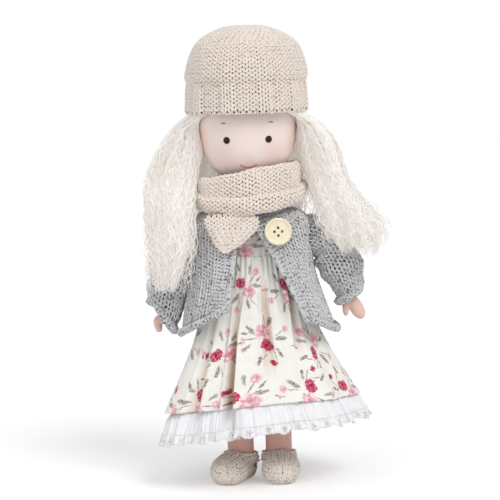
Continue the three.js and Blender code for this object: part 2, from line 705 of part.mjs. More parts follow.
// Places round a ring of skirt cloth, in degrees, with how far the pleats draw the cloth in or out there
const PLAIN_PLACES = [3, 17]; // between one pleat and the next
function placesRound(wider) {
  return PLEATS.flatMap(({ at, half, edge, deep, lip }, i) => {
    const next = PLEATS[(i + 1) % PLEATS.length];
    const outer = half + edge + wider;
    const inner = half - edge + wider;
    const to = next.at - next.half - next.edge - wider + (next.at > at ? 0 : 360);
    const rise = lip / (1 + wider);
    const count = PLAIN_PLACES[i];
    const plain = Array.from({ length: count }, (_, k) => [lerp(at + outer, to, (k + 1) / (count + 1)), 0]);
    return [[at - outer, rise], [at - inner, -deep], [at + inner, -deep], [at + outer, rise], ...plain];
  });
}

// Folds deepen from nothing at the gathers to their full depth at the hem.
function foldAt(angle, down) {
  const wave = Math.cos(SKIRT.folds * angle) + 0.45 * Math.cos((SKIRT.folds - 4) * angle + 1.3);
  return SKIRT.fold * wave * down * down * 0.7;
}

function pleatShare(down) {
  const eased = 1 - PLEAT_FALL.ease * THREE.MathUtils.smoothstep(down, 1, petticoatDown);
  return THREE.MathUtils.smoothstep(down, PLEAT_FALL.from, PLEAT_FALL.full) * eased;
}

// A ring of skirt cloth: down runs from 0 at the gathers to 1 at the form's foot and on to the petticoat's.
function skirtRing(downAt, inset, wider = 0) {
  const top = between(BODY, SKIRT.topZ);
  return placesRound(wider).map(([place, drawn]) => {
    const angle = degrees(place);
    const down = downAt(Math.max(0, -Math.sin(angle)) ** 1.5, angle);
    const bow = 0.12 * Math.sin(Math.PI * Math.min(down, 1)) * (SKIRT.hemAcross - top.across);
    const out = foldAt(angle, down) + drawn * pleatShare(down) - bow - inset;
    return new THREE.Vector3(
      SKIRT.drift * down + (lerp(top.across + SKIRT.ease, SKIRT.hemAcross, down) + out) * Math.cos(angle),
      (lerp(top.deep + SKIRT.ease, SKIRT.hemDeep, down) + out) * Math.sin(angle),
      lerp(SKIRT.topZ, SKIRT.hemZ, down) + SKIRT.tilt * Math.cos(angle) * down,
    );
  });
}

const skirtDrop = SKIRT.topZ - SKIRT.hemZ;
const petticoatDown = (SKIRT.topZ - PETTICOAT.hemZ) / skirtDrop;
const laceDown = petticoatDown - LACE.tall / skirtDrop;
const seamDown = laceDown - GAP / skirtDrop;
const GAUZE_INSET = COTTON + 2 * GAP;

function skirtRow(share, inset, wider) {
  const hem = (front, angle) => 1 - SKIRT.short - SKIRT.frontShort * front + 0.016 * Math.cos(angle);
  return skirtRing((front, angle) => share * hem(front, angle), inset, wider);
}

function skirtRings(inset) {
  return [1, 0.8, 0.6, 0.4, 0.2, 0].map((share) => skirtRow(share, inset));
}
add("dress_skirt", loftWall(skirtRings(0), skirtRings(COTTON)), floralCotton);

// The petticoat follows the skirt's cloth from inside and runs on below its hem to the lace.
function gauzeRow(down, inset) {
  return skirtRing((front) => down - PETTICOAT.frontShort * front, GAUZE_INSET + inset, PETTICOAT.wider);
}
function petticoatRings(inset) {
  const shares = [1, 0.8, 0.6, 0.4, 0.2, PETTICOAT.topShare];
  const hidden = shares.map((share) => skirtRow(share, GAUZE_INSET + inset, PETTICOAT.wider));
  return [gauzeRow(seamDown, inset), ...hidden];
}
function laceRings(inset) {
  return [gauzeRow(petticoatDown, inset), gauzeRow(laceDown, inset)];
}
add("petticoat", loftWall(petticoatRings(0), petticoatRings(GAUZE)), whiteGauze);
add("petticoat_lace", loftWall(laceRings(0), laceRings(LACE.wall)), whiteGauze);

// Cardigan: back and two fronts on one round-cornered form, with sleeves in its armholes

const ARMPIT_Z = SHOULDER.z - ARMHOLE;
const CARDIGAN_FORM = [
  CARDIGAN_HEM,
  { z: ARMPIT_Z, across: SEAM_X, deep: WAIST.deep + CARDIGAN.frontEase + 2 },
  { z: SHOULDER.z + ARMHOLE / 2, across: SEAM_X, deep: SHOULDER.deep + CARDIGAN.frontEase },
  { z: SHOULDER.z + ARMHOLE, across: SEAM_X - 5, deep: SHOULDER.deep + CARDIGAN.frontEase - 4 },
  { z: CARDIGAN.neckZ, across: CARDIGAN.neckAcross, deep: CARDIGAN.neckDeep },
];

function cardiganSize(z) {
  const size = between(CARDIGAN_FORM, z);
  const fall = THREE.MathUtils.clamp((ARMPIT_Z - z) / (ARMPIT_Z - CARDIGAN_HEM.z), 0, 1);
  return { across: size.across, deep: size.deep, x: CARDIGAN_HEM.drift * fall };
}

function cardiganPoint(angle, z, inset) {
  const { across, deep, x } = cardiganSize(z);
  const e = 2 / CARDIGAN.squareness;
  return new THREE.Vector3(
    x + (across - inset) * power(Math.cos(angle), e),
    (deep - inset) * power(Math.sin(angle), e),
    z - inset * THREE.MathUtils.smoothstep(z, SHOULDER.z, CARDIGAN.neckZ),
  );
}

// The angle round the form at which its front lies at a place across.
function frontAngle(x, z) {
  const size = cardiganSize(z);
  const share = THREE.MathUtils.clamp((x - size.x) / size.across, -0.98, 0.98);
  const cosine = power(share, CARDIGAN.squareness / 2);
  return 2 * Math.PI - Math.acos(cosine);
}

const SEAM = GAP / SEAM_X; // half the angle left open at a side seam
const sleeveHoles = crossBar(ARMHOLE, 6 * SHOULDER.across, 0, SHOULDER.z, 24);

function cardiganPiece(angleAt, hemAt, columns) {
  const face = (inset) => (u, v) => {
    const hem = hemAt(u);
    const z = lerp(hem, CARDIGAN.neckZ, v);
    return cardiganPoint(angleAt(u, z), z, inset);
  };
  return solid(sheet(face(0), face(KNIT), columns, 7)).subtract(sleeveHoles);
}

const backAngle = (u) => lerp(SEAM, Math.PI - SEAM, u);
add("cardigan_back", cardiganPiece(backAngle, () => CARDIGAN_HEM.z, 8), greyKnit);

// The front edge runs down from the neck, bowing away from the middle, to the hem's raised inner corner.
function frontEdge(front, z) {
  const hem = CARDIGAN_HEM.z + front.hemRise;
  const t = THREE.MathUtils.clamp((CARDIGAN.neckZ - z) / (CARDIGAN.neckZ - hem), 0, 1);
  const middle = 2 * front.middleX - (front.topX + front.hemX) / 2;
  return (1 - t) ** 2 * front.topX + 2 * t * (1 - t) * middle + t * t * front.hemX;
}
const hemOf = (front) => (towardsMiddle) => CARDIGAN_HEM.z + front.hemRise * towardsMiddle ** 1.5;
add(
  "cardigan_left_front",
  cardiganPiece(
    (u, z) => lerp(frontAngle(frontEdge(LEFT_FRONT, z), z), 2 * Math.PI - SEAM, u),
    (u) => hemOf(LEFT_FRONT)(1 - u),
    6,
  ),
  greyKnit,
);
add(
  "cardigan_right_front",
  cardiganPiece(
    (u, z) => lerp(Math.PI + SEAM, frontAngle(frontEdge(RIGHT_FRONT, z), z), u),
    (u) => hemOf(RIGHT_FRONT)(u),
    6,
  ),
  greyKnit,
);

function sleeveRings(arm, inset) {
  const { cuff } = arm;
  const line = armLine(arm);
  const narrowing = lerp(arm.puff, cuff.radius, 0.55);
  const stations = [
    { at: offShoulder(arm, CARDIGAN.sideEase + GAP, 0), across: ARMHOLE, deep: ARMHOLE },
    { at: line.bend, across: arm.puff, deep: ARMHOLE },
    { at: line.elbow, across: arm.puff, deep: arm.puff },
    { at: line.wrist, across: narrowing, deep: narrowing },
    { at: line.cuff, across: cuff.radius, deep: cuff.radius },
  ];
  const start = SIDE_TO_SIDE.clone().multiplyScalar(arm.side);
  const end = new THREE.Vector3(arm.side * cuff.faceOut, 0, -Math.sqrt(1 - cuff.faceOut ** 2));
  const facing = (t, line) => {
    const along = line.getTangent(t);
    if (t < 0.5) return start.clone().lerp(along, t / 0.5).normalize();
    return along.lerp(end, Math.max(0, (t - 0.7) / 0.3)).normalize();
  };
  return limbRings(grown(stations, -inset), 12, 8, facing);
}
for (const [word, arm] of [["left", LEFT_ARM], ["right", RIGHT_ARM]]) {
  const sleeve = loftWall(sleeveRings(arm, 0), sleeveRings(arm, KNIT));
  add(`${word}_sleeve`, solid(sleeve).intersect(outsideOf(arm, SEAM_X + GAP)), greyKnit);
}

// Button on the left front, with the thread shank that holds it off the wool

const buttonAngle = frontAngle(BUTTON.x, BUTTON.z);
const buttonSeat = cardiganPoint(buttonAngle, BUTTON.z, 0);
const alongFront = cardiganPoint(buttonAngle + 0.02, BUTTON.z, 0).sub(buttonSeat);
const upFront = cardiganPoint(buttonAngle, BUTTON.z + 1, 0).sub(buttonSeat);
const buttonOut = alongFront.cross(upFront).normalize();
const onFront = new THREE.Quaternion().setFromUnitVectors(UP, buttonOut);

const buttonProfile = [
  [0, 0],
  [BUTTON.radius - BUTTON.bevel, 0],
  [BUTTON.radius, BUTTON.bevel],
  [BUTTON.radius, BUTTON.thick + BUTTON.rim - BUTTON.bevel],
  [BUTTON.radius - BUTTON.bevel, BUTTON.thick + BUTTON.rim],
  [BUTTON.radius - BUTTON.rimWide, BUTTON.thick + BUTTON.rim],
  [BUTTON.radius - BUTTON.rimWide - BUTTON.bevel, BUTTON.thick],
  [0, BUTTON.thick],
].map(([r, h]) => new THREE.Vector2(r, h));
let button = solid(new THREE.LatheGeometry(buttonProfile, 20).rotateX(Math.PI / 2));
for (const [i, j] of [[0, 1], [1, 0], [0, -1], [-1, 0]]) {
  const [x, y] = [i * BUTTON.holeOut, j * BUTTON.holeOut];
  button = button.subtract(upright(BUTTON.holeRadius, -1, BUTTON.thick + 1, x, y, 8));
}
function placeOnFront(made, lift) {
  const seat = buttonSeat.clone().addScaledVector(buttonOut, lift - BUTTON.sunk);
  return geometryOfSolid(made).applyQuaternion(onFront).translate(seat.x, seat.y, seat.z);
}
add("cardigan_button", placeOnFront(button, 2 * GAP + BUTTON.shank), buttonCream);
const threadShank = upright(BUTTON.holeOut - BUTTON.holeRadius - GAP, 0, BUTTON.shank, 0, 0, 10);
add("button_thread", placeOnFront(threadShank, 1.5 * GAP), strongThread);

// Scarf: two wraps in one piece, and its loose end

const SCARF_STEPS = 20;
function wrap(middleAt, tallAt, spread, thick, grow) {
  const rings = Array.from({ length: SCARF_STEPS }, (_, k) => {
    const angle = (2 * Math.PI * k) / SCARF_STEPS;
    const outward = new THREE.Vector3(Math.cos(angle), Math.sin(angle), 0);
    const centre = new THREE.Vector3(
      (SCARF.across + spread) * outward.x,
      (SCARF.deep + spread) * outward.y,
      middleAt(outward),
    );
    return Array.from({ length: 8 }, (_, i) => {
      const turn = (2 * Math.PI * i) / 8;
      return centre
        .clone()
        .addScaledVector(UP, (tallAt(outward) / 2 + grow) * power(Math.cos(turn), 0.8))
        .addScaledVector(outward, (thick / 2 + grow) * power(Math.sin(turn), 0.8));
    });
  });
  return solid(loftLoop(rings));
}
function scarfSolid(grow) {
  const upper = wrap(
    (o) => UPPER_WRAP.z + UPPER_WRAP.tilt * o.x,
    (o) => UPPER_WRAP.tall * (0.86 - 0.14 * o.y),
    0,
    SCARF.thick,
    grow,
  );
  const lower = wrap(
    (o) => LOWER_WRAP.z + LOWER_WRAP.dip * o.y + 0.4 * UPPER_WRAP.tilt * (o.x + Math.abs(o.x)),
    () => LOWER_WRAP.tall,
    LOWER_WRAP.spread,
    SCARF.thick,
    grow,
  );
  return upper.add(lower);
}
const bodyAndDress = solid(loft(bodiceRings(BODICE_LIFT + COTTON + GAP)));
const TAIL_CLEAR_Z = TAIL.topZ - 1.5 * TAIL.long;
const cardiganClear = solid(
  loft(
    Array.from({ length: 10 }, (_, k) => {
      const z = lerp(TAIL_CLEAR_Z, CARDIGAN.neckZ, k / 9);
      return Array.from({ length: 32 }, (_, i) => cardiganPoint((2 * Math.PI * i) / 32, z, -2 * GAP));
    }),
  ),
);
add("scarf", scarfSolid(0).subtract(cardiganClear).subtract(bodyAndDress), ivoryKnit);

const tailFoot = TAIL.topZ - TAIL.long;
const tailRight = TAIL.middleX - TAIL.wide / 2;
const tailLeft = TAIL.middleX + TAIL.wide / 2;
const tailOutline = new THREE.Shape();
tailOutline.moveTo(tailLeft, TAIL.topZ);
tailOutline.lineTo(tailRight, TAIL.topZ);
tailOutline.quadraticCurveTo(tailRight + 1, tailFoot + TAIL.long * 0.35, TAIL.tipX, tailFoot);
tailOutline.quadraticCurveTo(TAIL.middleX + 4, tailFoot + TAIL.long * 0.3, tailLeft, TAIL.topZ);
const tail = new THREE.ExtrudeGeometry(tailOutline, {
  depth: TAIL.thick - 2 * TAIL.round,
  bevelThickness: TAIL.round,
  bevelSize: TAIL.round,
  bevelSegments: 2,
  curveSegments: 8,
});
const tailY = -(SCARF.deep + LOWER_WRAP.spread - SCARF.thick / 2);
tail.rotateX(Math.PI / 2).translate(0, tailY - TAIL.round, 0);
add("scarf_tail", solid(tail).subtract(cardiganClear).subtract(scarfSolid(GAP)), ivoryKnit);

// Hair: a mass at each side and one behind, laid over what they fall on

const sleeveClear = (arm) => solid(loft(sleeveRings(arm, -GAP)));
const headClear = solid(loft(headRings(-GAP, HEAD_SIDES)));
const wigClear = solid(loft(wigRings(WIG_LIFT + WIG_KNIT + GAP, 4 * GAP))).add(headClear);
const hairClear = [wigClear, scarfSolid(GAP), cardiganClear, sleeveClear(LEFT_ARM), sleeveClear(RIGHT_ARM)];
const HAIR = { hair_left: HAIR_LEFT, hair_right: HAIR_RIGHT, hair_back: HAIR_BACK };
for (const [name, locks] of Object.entries(HAIR)) {
  const stations = Object.values(locks).map((s) => ({ ...s, at: new THREE.Vector3(s.x, s.y, s.z) }));
  stations.reverse();
  let mass = solid(loft(limbRings(stations, 14, 9)));
  for (const clear of hairClear) mass = mass.subtract(clear);
  add(name, mass, hairColour);
}

// The origin is on the floor, under the middle of the doll's box.
const box = new THREE.Box3().setFromObject(doll);
const middle = box.getCenter(new THREE.Vector3());
doll.position.set(-middle.x, -middle.y, -box.min.z);
const part = new THREE.Group();
part.add(doll);

export default part;
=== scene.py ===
"""A dressed rag doll: its cloth, yarn, hair and print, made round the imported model.

Shapes are written in millimetres round the body's upright axis, with +Z up and the face towards -Y.
place() turns them into the frame's metres.
"""

import json
import math

import bmesh
import bpy
import numpy as np
from mathutils import Matrix, Vector


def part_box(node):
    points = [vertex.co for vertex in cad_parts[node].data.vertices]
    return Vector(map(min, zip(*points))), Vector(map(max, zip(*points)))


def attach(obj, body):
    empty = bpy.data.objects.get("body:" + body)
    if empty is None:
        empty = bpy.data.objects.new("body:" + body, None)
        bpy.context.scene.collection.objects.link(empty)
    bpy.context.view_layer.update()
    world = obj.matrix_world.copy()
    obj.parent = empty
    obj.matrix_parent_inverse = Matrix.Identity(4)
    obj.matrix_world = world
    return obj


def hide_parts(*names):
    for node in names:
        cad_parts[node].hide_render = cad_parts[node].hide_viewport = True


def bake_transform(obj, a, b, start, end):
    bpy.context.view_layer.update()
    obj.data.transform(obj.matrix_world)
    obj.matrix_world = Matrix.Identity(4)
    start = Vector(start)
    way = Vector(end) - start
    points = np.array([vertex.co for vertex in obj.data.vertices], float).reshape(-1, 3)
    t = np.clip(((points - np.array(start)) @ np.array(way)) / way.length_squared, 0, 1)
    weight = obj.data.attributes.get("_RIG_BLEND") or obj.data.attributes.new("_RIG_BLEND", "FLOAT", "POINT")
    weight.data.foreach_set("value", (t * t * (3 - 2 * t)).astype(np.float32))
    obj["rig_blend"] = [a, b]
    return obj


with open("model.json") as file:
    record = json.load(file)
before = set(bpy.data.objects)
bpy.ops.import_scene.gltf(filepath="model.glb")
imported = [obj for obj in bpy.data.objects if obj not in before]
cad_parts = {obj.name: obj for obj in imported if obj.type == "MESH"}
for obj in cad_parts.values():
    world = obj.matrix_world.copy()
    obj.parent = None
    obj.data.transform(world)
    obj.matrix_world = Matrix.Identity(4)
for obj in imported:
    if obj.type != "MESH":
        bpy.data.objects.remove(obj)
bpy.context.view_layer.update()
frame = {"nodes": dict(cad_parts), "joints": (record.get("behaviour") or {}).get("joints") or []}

MM = 0.001
TAU = 2 * math.pi
NECK_JOINT = next(j for j in frame["joints"] if j["name"] == "head_turn")["pos_m"]
AXIS = np.array([NECK_JOINT[0], NECK_JOINT[1], 0.0])
UP, BACK, FRONT = np.array([[0.0, 0.0, 1.0], [0.0, 1.0, 0.0], [0.0, -1.0, 0.0]])
PIECE_QUADS = 95000  # a larger mesh is split, so that each piece keeps its whole surface


# Numbers and curves


def place(points):
    return np.asarray(points, float) * MM + AXIS


def unit(vectors):
    return vectors / np.maximum(np.linalg.norm(vectors, axis=-1, keepdims=True), 1e-9)


def lerp(a, b, t):
    return a + (b - a) * t


def smooth(x, low, high):
    t = np.clip((x - low) / (high - low), 0, 1)
    return t * t * (3 - 2 * t)


def power(value, exponent):
    return np.sign(value) * np.abs(value) ** exponent


def xyz(x, y, z):
    return np.stack(np.broadcast_arrays(x, y, z), -1).astype(float)


def oval(across, deep, angle, z):
    """Points round an upright oval."""
    return xyz(across * np.cos(angle), deep * np.sin(angle), z)


def hump(x, reach):
    """1 where x is 0, falling away smoothly to both sides."""
    return np.exp(-((x / reach) ** 2))


def plane_facing(out):
    """Level and upright unit vectors in the plane that faces a way."""
    right = unit(np.cross(UP, out))
    return right, np.cross(out, right)


def turned_in(angle, right, over):
    """Unit circle in the plane of two vectors, at angles from the first to the second."""
    return np.cos(angle)[:, None] * right + np.sin(angle)[:, None] * over


def steady(keys, values, at):
    """A smooth curve through values at rising keys, which never swings past them."""
    keys, values = np.asarray(keys, float), np.asarray(values, float)
    step = np.diff(keys)
    slope = np.diff(values) / step
    tangent = np.zeros_like(values)
    tangent[[0, -1]] = slope[[0, -1]]
    same = slope[:-1] * slope[1:] > 0
    safe = np.where(same, slope[:-1] + slope[1:], 1)
    tangent[1:-1] = np.where(same, 2 * slope[:-1] * slope[1:] / safe, 0)
    at = np.clip(at, keys[0], keys[-1])
    k = np.clip(np.searchsorted(keys, at, "right") - 1, 0, len(step) - 1)
    t = (at - keys[k]) / step[k]
    h = step[k]
    return (
        (1 + 2 * t) * (1 - t) ** 2 * values[k]
        + t * (1 - t) ** 2 * h * tangent[k]
        + t * t * (3 - 2 * t) * values[k + 1]
        + t * t * (t - 1) * h * tangent[k + 1]
    )


def run(stations, t):
    """A smooth run through evenly counted stations (rows of numbers), at shares t from 0 to 1."""
    stations = np.asarray(stations, float)
    last = len(stations) - 1
    padded = np.vstack([2 * stations[0] - stations[1], stations, 2 * stations[-1] - stations[-2]])
    x = np.clip(np.asarray(t, float), 0, 1) * last
    k = np.minimum(x.astype(int), last - 1)
    f = (x - k)[..., None]
    a, b, c, d = (padded[k + i] for i in range(4))
    square, cube = 2 * a - 5 * b + 4 * c - d, 3 * b - a - 3 * c + d
    return 0.5 * (2 * b + (c - a) * f + square * f**2 + cube * f**3)


def waves(x, rng, count, low, high):
    """A random but smooth wave of x: sines with whole numbers of cycles between low and high."""
    total = 0
    for _ in range(count):
        total = total + np.sin(rng.integers(low, high + 1) * x + rng.uniform(0, TAU))
    return total / count**0.5


# Meshes


def mesh_object(name, points, quads, material, uv=None, layer="cloth", rounded=True):
    points = place(points)
    mesh = bpy.data.meshes.new(name)
    mesh.vertices.add(len(points))
    mesh.vertices.foreach_set("co", points.astype(np.float32).ravel())
    mesh.loops.add(quads.size)
    mesh.loops.foreach_set("vertex_index", quads.astype(np.int32).ravel())
    mesh.polygons.add(len(quads))
    mesh.polygons.foreach_set("loop_start", np.arange(0, quads.size, 4, dtype=np.int32))
    mesh.polygons.foreach_set("use_smooth", np.full(len(quads), rounded))
    if uv is not None:
        mesh.uv_layers.new(name=layer).uv.foreach_set("vector", uv.astype(np.float32).ravel())
    mesh.update(calc_edges=True)
    mesh.materials.append(material)
    made = bpy.data.objects.new(name, mesh)
    bpy.context.scene.collection.objects.link(made)
    return made


def grid_quads(rows, columns, around):
    index = np.arange(rows * columns).reshape(rows, columns)
    ahead = np.roll(index, -1, 1) if around else index[:, 1:]
    here = index if around else index[:, :-1]
    return np.stack([here[:-1], ahead[:-1], ahead[1:], here[1:]], -1).reshape(-1, 4)


def grid_object(name, points, material, around=True, uv=None, thick=0.0, inside=None):
    """A sheet through rows of points. uv has one column more where the sheet closes on itself.

    inside is a second finish, for the inner face of a sheet with a thickness.
    """
    rows, columns = points.shape[:2]
    loops = None
    if uv is not None:
        here, ahead = uv[:, :-1], uv[:, 1:]
        loops = np.stack([here[:-1], ahead[:-1], ahead[1:], here[1:]], 2)
    made = mesh_object(name, points.reshape(-1, 3), grid_quads(rows, columns, around), material, loops)
    if thick:
        solid = made.modifiers.new("thickness", "SOLIDIFY")
        solid.thickness = thick * MM
        if inside:
            made.data.materials.append(inside)
            solid.material_offset = 1
    return made


class Yarns:
    """Tubes gathered into as few pieces as the face limit allows."""

    def __init__(self):
        self.points, self.quads, self.uv, self.count = [], [], [], 0

    def add(self, centre, reference, radius, sides=5, closed=False):
        """Tubes along centre, an array of (tubes, steps, 3). A tube's first side faces reference."""
        tubes, steps = centre.shape[:2]
        if closed:
            ahead = np.roll(centre, -1, 1) - np.roll(centre, 1, 1)
        else:
            ahead = np.gradient(centre, axis=1)
        along = unit(ahead)
        reference = np.broadcast_to(reference, centre.shape)
        first = unit(reference - (reference * along).sum(-1, keepdims=True) * along)
        second = np.cross(along, first)
        turn = TAU * np.arange(sides) / sides
        around = np.cos(turn)[:, None] * first[:, :, None] + np.sin(turn)[:, None] * second[:, :, None]
        radius = np.broadcast_to(radius, (tubes, steps))
        self.points.append((centre[:, :, None] + radius[..., None, None] * around).reshape(-1, 3))

        ring = np.arange(tubes * steps).reshape(tubes, steps)
        here = ring if closed else ring[:, :-1]
        there = np.roll(ring, -1, 1) if closed else ring[:, 1:]
        here, there = here[..., None] * sides, there[..., None] * sides
        side = np.arange(sides)
        beside = (side + 1) % sides
        quads = np.stack([here + side, here + beside, there + beside, there + side], -1)
        self.quads.append(quads.reshape(-1, 4) + self.count)
        self.count += tubes * steps * sides

        hop = np.linalg.norm(np.roll(centre, -1, 1) - centre, axis=-1)
        start = np.cumsum(hop, 1) - hop
        if not closed:
            start, hop = start[:, :-1], hop[:, :-1]
        low, high = start[..., None] + 0 * side, (start + hop)[..., None] + 0 * side
        left, right = 0 * low + side / sides, 0 * low + (side + 1) / sides
        uv = [np.stack(p, -1) for p in ((low, left), (low, right), (high, right), (high, left))]
        self.uv.append(np.stack(uv, -2).reshape(-1, 4, 2))

    def pieces(self, name, material, rounded=True):
        """One piece, or several with a number after the name."""
        points, quads, uv = (np.concatenate(x) for x in (self.points, self.quads, self.uv))
        parts = math.ceil(len(quads) / PIECE_QUADS)
        made = []
        shared_out = zip(np.array_split(quads, parts), np.array_split(uv, parts))
        for part, (some, marks) in enumerate(shared_out, 1):
            used, index = np.unique(some, return_inverse=True)
            label = name if parts == 1 else f"{name}_{part}"
            faces = index.reshape(-1, 4)
            made.append(mesh_object(label, points[used], faces, material, marks, "yarn", rounded))
        return made


def settle(pieces, body, slot, *nodes):
    """The pieces move with a body, the nodes they replace are hidden, and the first piece is given back."""
    pieces = pieces if isinstance(pieces, list) else [pieces]
    for piece in pieces:
        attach(piece, body)
    if nodes:
        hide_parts(*nodes)
    return pieces[0]


def drop_faces(made, chosen):
    work = bmesh.new()
    work.from_mesh(made.data)
    bmesh.ops.delete(work, geom=[f for f, drop in zip(work.faces, chosen) if drop], context="FACES")
    work.to_mesh(made.data)
    work.free()


def applied(made):
    """The object with its modifiers made part of its mesh."""
    graph = bpy.context.evaluated_depsgraph_get()
    mesh = bpy.data.meshes.new_from_object(made.evaluated_get(graph))
    made.modifiers.clear()
    made.data = mesh
    return made


# Materials


def colour(code):
    """Linear colour of a six-digit screen colour."""
    parts = [int(code[i : i + 2], 16) / 255 for i in (0, 2, 4)]
    return tuple(p / 12.92 if p <= 0.04045 else ((p + 0.055) / 1.055) ** 2.4 for p in parts) + (1.0,)


class Graph:
    """A material's nodes, written as expressions."""

    def __init__(self, name, **settings):
        self.material = bpy.data.materials.new(name)
        self.material.use_nodes = True
        self.tree = self.material.node_tree
        self.shader = self.tree.nodes["Principled BSDF"]
        for socket, value in settings.items():
            self.shader.inputs[socket.replace("_", " ")].default_value = value

    def feed(self, socket, value):
        if isinstance(value, bpy.types.NodeSocket):
            self.tree.links.new(value, socket)
        else:
            socket.default_value = value

    def node(self, kind, inputs=(), **settings):
        made = self.tree.nodes.new("ShaderNode" + kind)
        for key, value in settings.items():
            setattr(made, key, value)
        for key, value in dict(inputs).items():
            self.feed(made.inputs[key], value)
        return made

    def math(self, operation, *values):
        return self.node("Math", enumerate(values), operation=operation).outputs[0]

    def times(self, a, b):
        return self.math("MULTIPLY", a, b)

    def plus(self, a, b):
        return self.math("ADD", a, b)

    def minus(self, a, b):
        return self.math("SUBTRACT", a, b)

    def times_plus(self, a, b, c):
        return self.math("MULTIPLY_ADD", a, b, c)

    def sine(self, a):
        return self.math("SINE", a)

    def vector(self, operation, *values):
        made = self.node("VectorMath", enumerate(values), operation=operation)
        return made.outputs["Value" if operation in ("LENGTH", "DISTANCE", "DOT_PRODUCT") else "Vector"]

    def between(self, value, low, high):
        inputs = {"Value": value, "From Min": low, "From Max": high}
        return self.node("MapRange", inputs, interpolation_type="SMOOTHSTEP").outputs[0]

    def mix(self, share, a, b, blend="MIX"):
        made = self.node("Mix", {0: share, 6: a, 7: b}, data_type="RGBA", blend_type=blend)
        return made.outputs[2]

    def ramp(self, value, low, high, first, last):
        """From one screen colour to another as the value rises from low to high."""
        return self.mix(self.between(value, low, high), colour(first), colour(last))

    def noise(self, vector, scale, detail, roughness):
        inputs = {"Vector": vector, "Scale": scale, "Detail": detail, "Roughness": roughness}
        return self.node("TexNoise", inputs).outputs[0]

    def object_point(self):
        """Place on the object, in millimetres."""
        return self.scaled(self.node("TexCoord").outputs["Object"], 1 / MM)

    def scaled(self, vector, factor):
        return self.node("VectorMath", {0: vector, "Scale": factor}, operation="SCALE").outputs["Vector"]

    def uv(self, layer):
        return self.node("UVMap", uv_map=layer).outputs[0]

    def split(self, vector):
        return self.node("SeparateXYZ", {0: vector}).outputs[:2]

    def joined(self, x, y):
        return self.node("CombineXYZ", {0: x, 1: y}).outputs[0]

    def bump(self, height, depth, under=None):
        """Depth of the height's full swing, in millimetres."""
        inputs = {"Height": height, "Distance": depth * MM, "Strength": 1.0}
        if under is not None:
            inputs["Normal"] = under
        return self.node("Bump", inputs).outputs[0]

    def finish(self, base, roughness=None, normal=None):
        self.feed(self.shader.inputs["Base Color"], base)
        if roughness is not None:
            self.feed(self.shader.inputs["Roughness"], roughness)
        if normal is not None:
            self.feed(self.shader.inputs["Normal"], normal)
        return self.material


YARN_HAZE = 0.35  # how far a yarn's colour drifts towards its shade


def yarn_material(name, light, shade, fleck, flecks, lay=3.2, plies=3, depth=0.1, fine=0.85):
    """Plied wool: strands twist round the yarn, and its colour drifts and carries flecks."""
    g = Graph(name, Sheen_Weight=0.35, Sheen_Roughness=0.6, Specular_IOR_Level=0.15)
    along, around = g.split(g.uv("yarn"))
    turn = g.plus(g.times(around, TAU * plies), g.times(along, TAU / lay))
    ply = g.times_plus(g.sine(turn), 0.5, 0.5)
    fibre = g.noise(g.joined(g.times(along, 0.9), g.times(around, 9.0)), 1.0, 3, 0.65)
    spot = g.object_point()
    drift = g.noise(spot, 0.22, 3, 0.6)
    speck = g.between(g.noise(spot, fine, 2, 0.6), 1 - flecks, 1.06 - flecks)
    # Painted shade: the yarn darkens towards its shade colour in the grooves between its twisted plies. The
    # fibres' part is their own random tone.
    tone = g.plus(g.times(ply, 0.45), g.times(fibre, 0.55))
    base = g.ramp(tone, 0.28, 0.68, shade, light)
    base = g.mix(g.times(g.between(drift, 0.35, 0.7), YARN_HAZE), base, colour(shade))
    base = g.mix(g.times(speck, 0.75), base, colour(fleck))
    normal = g.bump(g.times_plus(fibre, 0.7, ply), depth)
    return g.finish(base, g.times_plus(fibre, 0.2, 0.75), normal)


def thread_material(name, light, shade, fleck, lay):
    """Two-ply sewing thread."""
    return yarn_material(name, light, shade, fleck, 0.3, lay=lay, plies=2, depth=0.08)


def cloth_material(name, light, shade):
    """Plain cloth under yarn or inside, mottled and softly rough. Under yarn its dark colours are painted
    shade that shows in the holes between loops.
    """
    g = Graph(name, Sheen_Weight=0.2, Specular_IOR_Level=0.15)
    spot = g.object_point()
    mottle = g.noise(spot, 0.9, 4, 0.6)
    base = g.ramp(mottle, 0.3, 0.7, shade, light)
    return g.finish(base, g.times_plus(mottle, 0.2, 0.75), g.bump(mottle, 0.3))


HAIR_GLOW = 0.075  # painted glow: the hair gives off a little light, in place of light scattered through its fine pale fibres


def hair_material(name, layer, depth=0.0):
    """Pale hair: fine fibres along the strands of layer, in colour and, with a depth, in relief. It has a
    faint painted glow.
    """
    glow = {"Emission_Strength": HAIR_GLOW, "Emission_Color": colour("fff8f1")}
    g = Graph(name, Specular_IOR_Level=0.2, **glow)
    along, around = g.split(g.uv(layer))
    drift = g.noise(g.object_point(), 0.5, 3, 0.6)
    bend = g.sine(g.times_plus(along, TAU / 5.6, g.times(drift, 8.0)))
    across = g.times_plus(bend, 0.25, g.times(around, 4.0))
    fibre = g.noise(g.joined(g.times(along, 0.25), across), 1.0, 3, 0.65)
    base = g.ramp(drift, 0.32, 0.7, "f8f4ef", "fefcfa")
    base = g.mix(g.times(g.between(fibre, 0.5, 0.8), 0.4), base, colour("e4dad0"))
    return g.finish(base, g.times_plus(fibre, 0.2, 0.6), g.bump(fibre, depth) if depth else None)


SKIN_DEPTH = (0.004, 0.0015, 0.001)  # how far red, green and blue light scatter in the jersey


